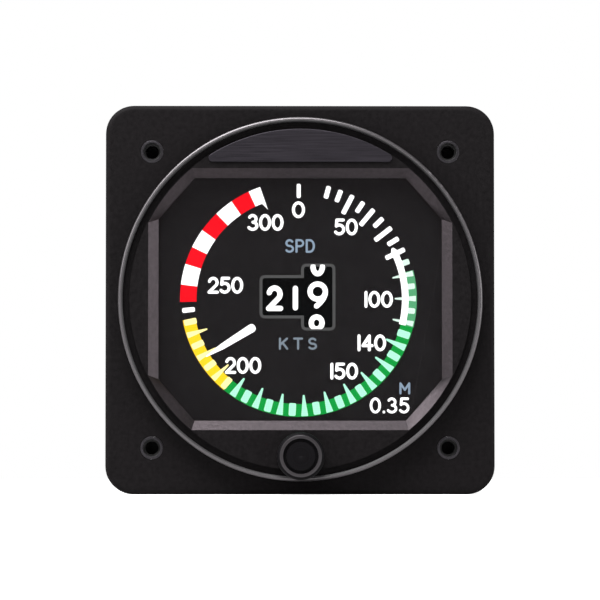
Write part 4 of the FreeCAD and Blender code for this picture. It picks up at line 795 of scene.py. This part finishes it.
@dataclass
class SpeedScale:
    """The round speed scale: ticks, coloured bands, the striped limit band and the figures."""

    first_tick_deg: float = 15.0
    tick_step_deg: float = 6.232
    tick_count: int = 41
    short_radii: Point = (22.15, 24.85)
    long_radii: Point = (20.4, 24.9)
    white_width: float = 1.02
    pale_width: float = 1.2
    mint_width: float = 1.5
    cream_width: float = 1.275
    tick_corner: float = 0.3
    spike_taper: float = 0.24
    zero_tick_radii: Point = (21.5, 24.5)
    zero_tick_width: float = 0.85
    last_white_deg: float = 67.0
    white_arc_deg: Point = (61.5, 104.0)
    white_arc_radii: Point = (21.95, 23.35)
    white_arc_end: float = 0.35
    outer_green_deg: Point = (75.8, 104.0)
    outer_green_radii: Point = (23.3, 25.1)
    band_radii: Point = (22.32, 25.02)
    green_deg: Point = (104.0, 219.5)
    yellow_deg: Point = (219.5, 259.5)
    stripe_radii: Point = (21.7, 25.2)
    stripes_deg: tuple[float, ...] = (268.5, 277.0, 287.2, 296.0, 305.5, 316.0, 325.5, 335.0, 341.0)
    stripe_point_radius: float = 20.1
    figure_height: float = 2.95
    figure_stroke: float = 0.64
    figure_gap: float = 0.74
    zero_widen: float = 1.12
    figures: tuple[tuple[str, float, float], ...] = (
        ("0", -0.35, 19.15), ("50", 9.73, 15.5), ("100", 16.65, 0.1), ("140", 15.18, -9.15),
        ("150", 9.32, -15.15), ("200", -12.1, -13.95), ("250", -15.87, 3.08), ("300", -7.38, 16.45))

    def tick(self, radii: Point, width: float, taper: float = 1.0) -> Piece:
        """Shapes one tick at the top of the dial.

        Args:
            radii: where its two ends are.
            width: its width.
            taper: what share of the width its inner end has.

        Returns:
            The tick.
        """
        x, z = DIAL_CENTRE
        inner = z + radii[0]
        piece = slab((x - width / 2, x + width / 2), (inner, z + radii[1]), MARK_LAYER)
        with bench(piece):
            pick(piece, Part.VERT, lambda v: v.co.z < (inner + 0.001) * MM)
            bpy.ops.transform.resize(value=(taper, 1, 1), center_override=(x * MM, 0, inner * MM))
        round_corners(piece, min(self.tick_corner, width * taper * 0.45), 3)
        return piece

    def ticks_between(self, start: float, end: float) -> list[int]:
        """Numbers the ticks between two angles."""
        return [n for n in range(self.tick_count)
                if start < self.first_tick_deg + self.tick_step_deg * n < end]

    def ring_of_ticks(self, numbers: Sequence[int], width: float, taper: float) -> Piece:
        """Copies the short and the long tick round to their places and joins them.

        Args:
            numbers: which ticks of the scale to make.
            width: their width.
            taper: what share of the width a long tick's inner end has.

        Returns:
            The joined ticks.
        """
        short = self.tick(self.short_radii, width)
        long = self.tick(self.long_radii, width, taper)
        made = []
        for number in numbers:
            master = long if 2 <= number < self.tick_count - 1 and number % 2 == 0 else short
            made.append(turn_about(copy_of(master), self.first_tick_deg + self.tick_step_deg * number))
        for master in (short, long):
            bpy.data.objects.remove(master)
        return join(made)

    def stripes(self, first: int) -> Piece:
        """Joins every second block of the striped limit band.

        Args:
            first: the first block. The row from 1 ends in the limit mark's point.

        Returns:
            The joined blocks.
        """
        blocks = [swept_band(self.stripe_radii, self.stripes_deg[i:i + 2], BASE_LAYER)
                  for i in range(first, len(self.stripes_deg) - 1, 2)]
        if first == 1:
            corner = on_dial(self.stripe_radii[0], self.stripes_deg[-1])
            point = on_dial(self.stripe_point_radius, self.stripes_deg[-1])
            with bench(blocks[-1]):
                pick_near(blocks[-1], corner, 0.05)
                bpy.ops.transform.translate(value=point - corner)
        return join(blocks)

    def white_arc(self) -> Piece:
        """Sweeps the white arc and narrows its first end.

        Returns:
            The arc.
        """
        inner, outer = self.white_arc_radii
        piece = swept_band(self.white_arc_radii, self.white_arc_deg, TEXT_LAYER)
        first_end = on_dial((inner + outer) / 2, self.white_arc_deg[0])
        with bench(piece):
            pick_near(piece, first_end, (outer - inner) * 0.55)
            bpy.ops.transform.resize(value=(self.white_arc_end, 1, self.white_arc_end),
                                     center_override=first_end)
        return piece

    def build(self) -> None:
        """Builds and mounts every part of the scale."""
        white = self.ticks_between(0, self.last_white_deg) + self.ticks_between(self.yellow_deg[1], 360)
        pale = self.ticks_between(self.last_white_deg, self.white_arc_deg[1])
        ticks = (
            ("white", white, self.white_width, 1.0, WHITE_IMAGE),
            ("pale", pale, self.pale_width, self.spike_taper, lit_image("pale green", "cfe8da", 1.1)),
            ("mint", self.ticks_between(*self.green_deg), self.mint_width, self.spike_taper,
             lit_image("mint", "a6f0cb", 1.15)),
            ("cream", self.ticks_between(*self.yellow_deg), self.cream_width, self.spike_taper,
             lit_image("cream", "fff0a0", 1.2)),
        )
        for colour, numbers, width, taper, finish in ticks:
            mount(self.ring_of_ticks(numbers, width, taper), f"dial_{colour}_ticks", finish)
        mount(self.white_arc(), "dial_white_arc", WHITE_IMAGE)
        bands = (
            ("outer_green", self.outer_green_radii, self.outer_green_deg,
             lit_image("grey green", "4f9c6c", 1.1)),
            ("green", self.band_radii, self.green_deg, lit_image("green", "0a9238", 1.05)),
            ("yellow", self.band_radii, self.yellow_deg, lit_image("yellow", "f8cb20", 1.1)),
        )
        for colour, radii, angles, finish in bands:
            mount(swept_band(radii, angles, BASE_LAYER), f"dial_{colour}_arc", finish)
        mount(self.stripes(0), "dial_red_stripes", lit_image("red", "e80818", 1.1))
        mount(self.stripes(1), "dial_white_stripes", WHITE_IMAGE)
        mount(self.tick(self.zero_tick_radii, self.zero_tick_width), "dial_zero_tick", WHITE_IMAGE)
        figures = [Writing(text, (x, z), self.figure_height, self.figure_gap,
                           self.zero_widen if text == "0" else 1.0) for text, x, z in self.figures]
        mount(draw(figures, self.figure_stroke), "dial_figures", WHITE_IMAGE)


@dataclass
class SpeedPointer:
    """The white needle in the picture, round at its inner end and pointed at the scale."""

    angle_deg: float = 238.1
    inner_radius: float = 10.95
    shoulder_radius: float = 20.3
    tip_radius: float = 23.2
    width: float = 1.8
    corner: float = 0.828
    shoulder_length: float = 1.08
    shoulder_width: float = 1.24
    tip_width: float = 0.4

    def build(self) -> None:
        """Shapes the needle at the top of the dial, turns it to its place and mounts it."""
        x, z = DIAL_CENTRE
        top = z + self.shoulder_radius
        shoulder = top - self.shoulder_length
        piece = slab((x - self.width / 2, x + self.width / 2), (z + self.inner_radius, top), POINTER_LAYER)
        round_corners(piece, self.corner, 5)
        cut_level(piece, shoulder, Keep.BOTH)
        with bench(piece):
            for low, share in ((shoulder - 0.02, self.shoulder_width / self.width),
                               (shoulder + 0.02, self.tip_width / self.shoulder_width)):
                pick(piece, Part.VERT, lambda v: v.co.z > low * MM)
                bpy.ops.transform.resize(value=(share, 1, 1), center_override=(x * MM, 0, top * MM))
            bpy.ops.transform.translate(value=(0, 0, (self.tip_radius - self.shoulder_radius) * MM))
        close_up(turn_about(piece, self.angle_deg))
        mount(piece, "speed_needle", WHITE_IMAGE)


@dataclass
class SpeedReadout:
    """The stepped readout box in the middle: its field, its outline and the rolling figures."""

    left: float = -8.62
    step: float = 0.2
    right: float = 7.5
    box: Point = (-3.96, 5.24)
    drum: Point = (-6.53, 7.68)
    drum_window: Point = (-6.22, 7.432)
    corner: float = 1.1
    outline: float = 0.62
    outline_thickness: float = 0.008
    stroke: float = 1.16
    still_figures: tuple[Writing, ...] = (
        Writing("2", (-5.42, 0.33), 4.34, widen=0.96), Writing("1", (-1.0, 0.36), 4.1),
        Writing("9", (3.74, 1.02), 4.66))
    leaving_figure: Writing = Writing("8", (3.74, 8.43), 5.8, widen=0.54)
    coming_figure: Writing = Writing("0", (3.52, -4.93), 2.56, widen=1.38)

    def field_and_outline(self) -> None:
        """Shapes the stepped field from the drum's window and insets it for the outline."""
        piece = slab((self.step, self.right), self.drum, FIELD_LAYER)
        for height in self.box:
            cut_level(piece, height, Keep.BOTH)
        with bench(piece):
            pick(piece, Part.FACE, lambda face: face.normal.x < -0.9 and (
                self.box[0] * MM < face.calc_center_median().z < self.box[1] * MM))
            bpy.ops.mesh.extrude_region_move(
                TRANSFORM_OT_translate={"value": ((self.left - self.step) * MM, 0, 0)})
            bpy.ops.mesh.select_all(action="SELECT")
            bpy.ops.mesh.dissolve_limited(angle_limit=radians(1))
        round_corners(piece, self.corner)
        line = copy_of(piece)
        mount(piece, "readout_field", UNLIT_IMAGE)
        # Of the copy's front face only a frame stays, which gets its own thickness.
        with bench(line):
            pick(line, Part.FACE, lambda face: face.normal.y > -0.9)
            bpy.ops.mesh.delete(type="FACE")
            bpy.ops.mesh.select_all(action="SELECT")
            bpy.ops.mesh.inset(thickness=self.outline * MM, use_boundary=True)
            bpy.ops.mesh.delete(type="FACE")
            bpy.ops.mesh.select_all(action="SELECT")
            bpy.ops.mesh.extrude_region_move(
                TRANSFORM_OT_translate={"value": (0, -self.outline_thickness * MM, 0)})
        close_up(line)
        mount(line, "readout_outline", lit_image("grey", "494949", 1.0))

    def build(self) -> None:
        """Builds the box, the still figures and the two that roll in the drum's window."""
        self.field_and_outline()
        still = draw(self.still_figures, self.stroke)
        leaving = draw([self.leaving_figure], self.stroke)
        coming = draw([self.coming_figure], self.stroke)
        cut_level(leaving, self.drum_window[1], Keep.BELOW)
        cut_level(coming, self.drum_window[0], Keep.ABOVE)
        pieces = (still, leaving, coming)
        for piece in pieces:
            close_up(piece)
        mount(join(pieces), "readout_figures", WHITE_IMAGE)


@dataclass
class UnitMarks:
    """Short plain marks, each with its stroke width: quantity, unit and the smaller second value."""

    marks: tuple[tuple[str, float, Finish, tuple[Writing, ...]], ...] = (
        ("unit_marks", 0.46, lit_image("pale blue", "7c8ea0", 1.15),
         (Writing("SPD", (-0.03, 11.44), 2.45, 0.75), Writing("M", (22.23, -18.81), 2.1, 0.85, 1.1))),
        ("knot_mark", 0.46, lit_image("dim blue", "717c86", 1.1),
         (Writing("KTS", (-0.45, -9.33), 2.15, 1.5, 1.15),)),
        ("second_value", 0.55, WHITE_IMAGE, (Writing("0.35", (19.0, -22.43), 2.85, 0.88),)),
    )

    def build(self) -> None:
        """Draws and mounts the marks."""
        for name, stroke, finish, writings in self.marks:
            mount(draw(writings, stroke), name, finish)


@dataclass
class BadgePlate:
    """The bare plate above the window: a segment of a disc with rounded tips and a fine chamfer."""

    arc_radius: float = 36.0
    arc_points: int = 240
    bottom: float = 29.0
    tip_radius: float = 0.85
    faces: Point = (-3.9, -3.4)
    chamfer: float = 0.12

    def build(self) -> None:
        """Draws a hull round the arc and the two tips, chamfers its front and mounts it."""
        tip_z = self.bottom + self.tip_radius
        tip_x = sqrt((self.arc_radius - self.tip_radius) ** 2 - tip_z ** 2)
        touch = tip_z * self.arc_radius / (self.arc_radius - self.tip_radius)
        sheet = turned_bar(self.arc_radius, self.faces, (0, 0), self.arc_points)
        cut_level(sheet, touch, Keep.ABOVE)
        tips = [turned_bar(self.tip_radius, self.faces, (x, tip_z)) for x in (-tip_x, tip_x)]
        piece = join([sheet, *tips])
        front = (self.faces[0] + 0.01) * MM
        with bench(piece, whole=True):
            bpy.ops.mesh.convex_hull()
            bpy.ops.mesh.select_all(action="SELECT")
            bpy.ops.mesh.dissolve_limited(angle_limit=radians(0.5))
            pick(piece, Part.EDGE, lambda edge: all(v.co.y < front for v in edge.verts))
            bpy.ops.mesh.bevel(offset=self.chamfer * MM, segments=2, affect="EDGES")
        close_up(piece)
        mount(piece, "badge_plate_sheet", SLOT_FINISHES["plate_finish"])
        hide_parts("badge_plate")


@dataclass
class ThreadLiners:
    """The four closed liners in the flange: a countersunk mouth, a step and the turns of the thread."""

    offset: float = 31.435
    radius: float = 2.4
    length: float = 10.4
    rim_width: float = 0.38
    sink_radius: float = 1.78
    sink_depth: float = 0.16
    throat_depth: float = 0.1
    bore: float = 1.4
    root: float = 1.56
    pitch: float = 0.794
    turns: int = 9
    chamfer: float = 0.12
    smooth_deg: float = 30.0

    def deepen(self, piece: Piece, radius: float, depth: float) -> None:
        """Sinks the selected mouth face and brings its rim to a radius.

        Args:
            piece: the liner, open on the bench.
            radius: the rim's new radius.
            depth: how far it sinks.
        """
        bpy.ops.mesh.extrude_region_move(TRANSFORM_OT_translate={"value": (0, depth * MM, 0)})
        shape = bmesh.from_edit_mesh(piece.data)
        centre = Vector((self.offset * MM, 0, self.offset * MM))
        now = max(hypot(v.co.x - centre.x, v.co.z - centre.z) for v in shape.verts if v.select)
        share = radius * MM / now
        bpy.ops.transform.resize(value=(share, 1, share), center_override=centre)

    def build(self) -> None:
        """Shapes one liner, copies it to the other corners and mounts all four."""
        piece = turned_bar(self.radius, (0, self.length), (self.offset, self.offset))
        with bench(piece):
            pick(piece, Part.EDGE, lambda edge: abs(edge.verts[0].co.y - edge.verts[1].co.y) < 1e-6)
            bpy.ops.mesh.bevel(offset=self.chamfer * MM, segments=2, affect="EDGES")
            pick(piece, Part.FACE, lambda face: face.normal.y < -0.99)
            bpy.ops.mesh.inset(thickness=self.rim_width * MM)
            self.deepen(piece, self.sink_radius, self.sink_depth)
            self.deepen(piece, self.sink_radius, self.pitch * 2)
            self.deepen(piece, self.bore, self.throat_depth)
            for _ in range(self.turns):
                self.deepen(piece, self.root, self.pitch / 2)
                self.deepen(piece, self.bore, self.pitch / 2)
        close_up(piece)
        made = join([piece] + [turn_about(copy_of(piece), quarter, (0, 0)) for quarter in (90, 180, 270)])
        angle = radians(self.smooth_deg)
        with bench(made, whole=True):
            bpy.ops.mesh.set_sharpness_by_angle(angle=angle)
        take_up(made)
        bpy.ops.object.shade_smooth_by_angle(angle=angle)
        mount(made, "thread_liners", SLOT_FINISHES["insert_steel"])
        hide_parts("threaded_inserts")


@dataclass
class Instrument:
    """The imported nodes, each dressed with the finish of its slot or its own."""

    nodes: dict[str, Piece]
    record: dict

    def build(self) -> None:
        """Gives every node its material."""
        slots = {part["node"]: part["material_slot"] for part in self.record["subparts"]}
        for name, node in self.nodes.items():
            finish = NODE_FINISHES.get(name, SLOT_FINISHES[slots[name]])
            if not node.material_slots:
                node.data.materials.append(finish.material())
            for place in node.material_slots:
                place.material = finish.material()
            log.info("%s: %s", name, finish.label)


@dataclass
class Studio:
    """A plain pale floor, soft panels around the object and a long lens a little below its axis."""

    floor_place: Place = (0.0, -0.45, -0.0413)
    floor_size: Point = (2.4, 2.1)
    floor_tone: float = 0.55
    floor_lift: float = 0.74
    ambient: float = 0.5
    panels: tuple[tuple[str, Place, Point, float], ...] = (
        ("overhead_panel", (-0.2, -0.22, 0.56), (0.72, 0.42), 13.5),
        ("right_card", (0.62, -0.28, 0.1), (0.32, 0.34), 6.6),
        ("left_card", (-0.6, -0.28, 0.24), (0.32, 0.34), 7.4),
    )
    lens_mm: float = 226.3
    sensor_mm: float = 36.0
    framed_width: float = 0.12725
    aim: Place = (-0.000035, 0.0, -0.000093)
    elevation_deg: float = -2.42
    azimuth_deg: float = -0.68

    def seen(self, tree: Tree) -> Socket:
        """Marks with a 1 what the camera sees directly or through glass."""
        rays = add_node(tree, "ShaderNodeLightPath").outputs
        return add_node(tree, "ShaderNodeMath", {"operation": "MAXIMUM"}, links={
            0: rays["Is Camera Ray"], 1: rays["Is Transmission Ray"]}).outputs[0]

    def light_world(self) -> None:
        """White to the eye, and a softer even light on the object and in its reflections."""
        world = bpy.data.worlds.new("studio")
        bpy.context.scene.world = world
        tree = fresh_tree(world)
        white = linear_colour("ffffff")
        soft, full = (add_node(tree, "ShaderNodeBackground", values={"Color": white, "Strength": power})
                      for power in (self.ambient, 1.0))
        mixed = add_node(tree, "ShaderNodeMixShader",
                         links={0: self.seen(tree), 1: soft.outputs[0], 2: full.outputs[0]})
        add_node(tree, "ShaderNodeOutputWorld", links={"Surface": mixed.outputs[0]})

    def lay_floor(self) -> None:
        """A matt white floor that stays white to the eye and keeps the shadow."""
        bpy.ops.object.select_all(action="DESELECT")
        bpy.ops.mesh.primitive_plane_add(size=1, location=self.floor_place)
        floor = bpy.context.object
        floor.name = "studio_floor"
        floor.scale = (*self.floor_size, 1)
        bpy.ops.object.transform_apply()
        material = bpy.data.materials.new("matt white paint")
        tree = fresh_tree(material)
        paint = add_node(tree, "ShaderNodeBsdfDiffuse", values={"Color": (*[self.floor_tone] * 3, 1)})
        lift = add_node(tree, "ShaderNodeEmission", values={"Color": linear_colour("ffffff")})
        share = add_node(tree, "ShaderNodeMath", {"operation": "MULTIPLY"}, {1: self.floor_lift},
                         {0: self.seen(tree)})
        tree.links.new(share.outputs[0], lift.inputs["Strength"])
        both = add_node(tree, "ShaderNodeAddShader", links={0: paint.outputs[0], 1: lift.outputs[0]})
        add_node(tree, "ShaderNodeOutputMaterial", links={"Surface": both.outputs[0]})
        floor.data.materials.append(material)

    def hang_panels(self) -> None:
        """Soft panels that face the object: each has a place, a size and a radiance, where 1 is white."""
        for name, place, (width, height), radiance in self.panels:
            lamp = bpy.data.lights.new(name, "AREA")
            lamp.shape = "RECTANGLE"
            lamp.size = width
            lamp.size_y = height
            lamp.energy = radiance * pi * width * height
            panel = bpy.data.objects.new(name, lamp)
            panel.location = place
            panel.rotation_euler = (-Vector(place)).to_track_quat("-Z", "Y").to_euler()
            bpy.context.scene.collection.objects.link(panel)

    def set_camera(self) -> None:
        """A long lens in front of the dial, at the angle that the photograph was taken from."""
        data = bpy.data.cameras.new("camera")
        data.lens = self.lens_mm
        camera = bpy.data.objects.new("camera", data)
        rise, swing = radians(self.elevation_deg), radians(self.azimuth_deg)
        back = Vector((sin(swing) * cos(rise), -cos(swing) * cos(rise), sin(rise)))
        camera.location = Vector(self.aim) + back * self.framed_width * self.lens_mm / self.sensor_mm
        camera.rotation_euler = (-back).to_track_quat("-Z", "Y").to_euler()
        bpy.context.scene.collection.objects.link(camera)
        bpy.context.scene.camera = camera

    def build(self) -> None:
        """Sets up the whole studio."""
        bpy.context.scene.view_settings.view_transform = "Standard"
        self.light_world()
        self.lay_floor()
        self.hang_panels()
        self.set_camera()


def main() -> None:
    """Builds everything in order."""
    assemblies = (
        Instrument(frame["nodes"], frame["record"]), SpeedScale(), SpeedPointer(), SpeedReadout(),
        UnitMarks(), BadgePlate(), ThreadLiners(), Studio(),
    )
    for assembly in assemblies:
        assembly.build()
        log.info("%s built", type(assembly).__name__)


if __name__ == "__main__":
    main()
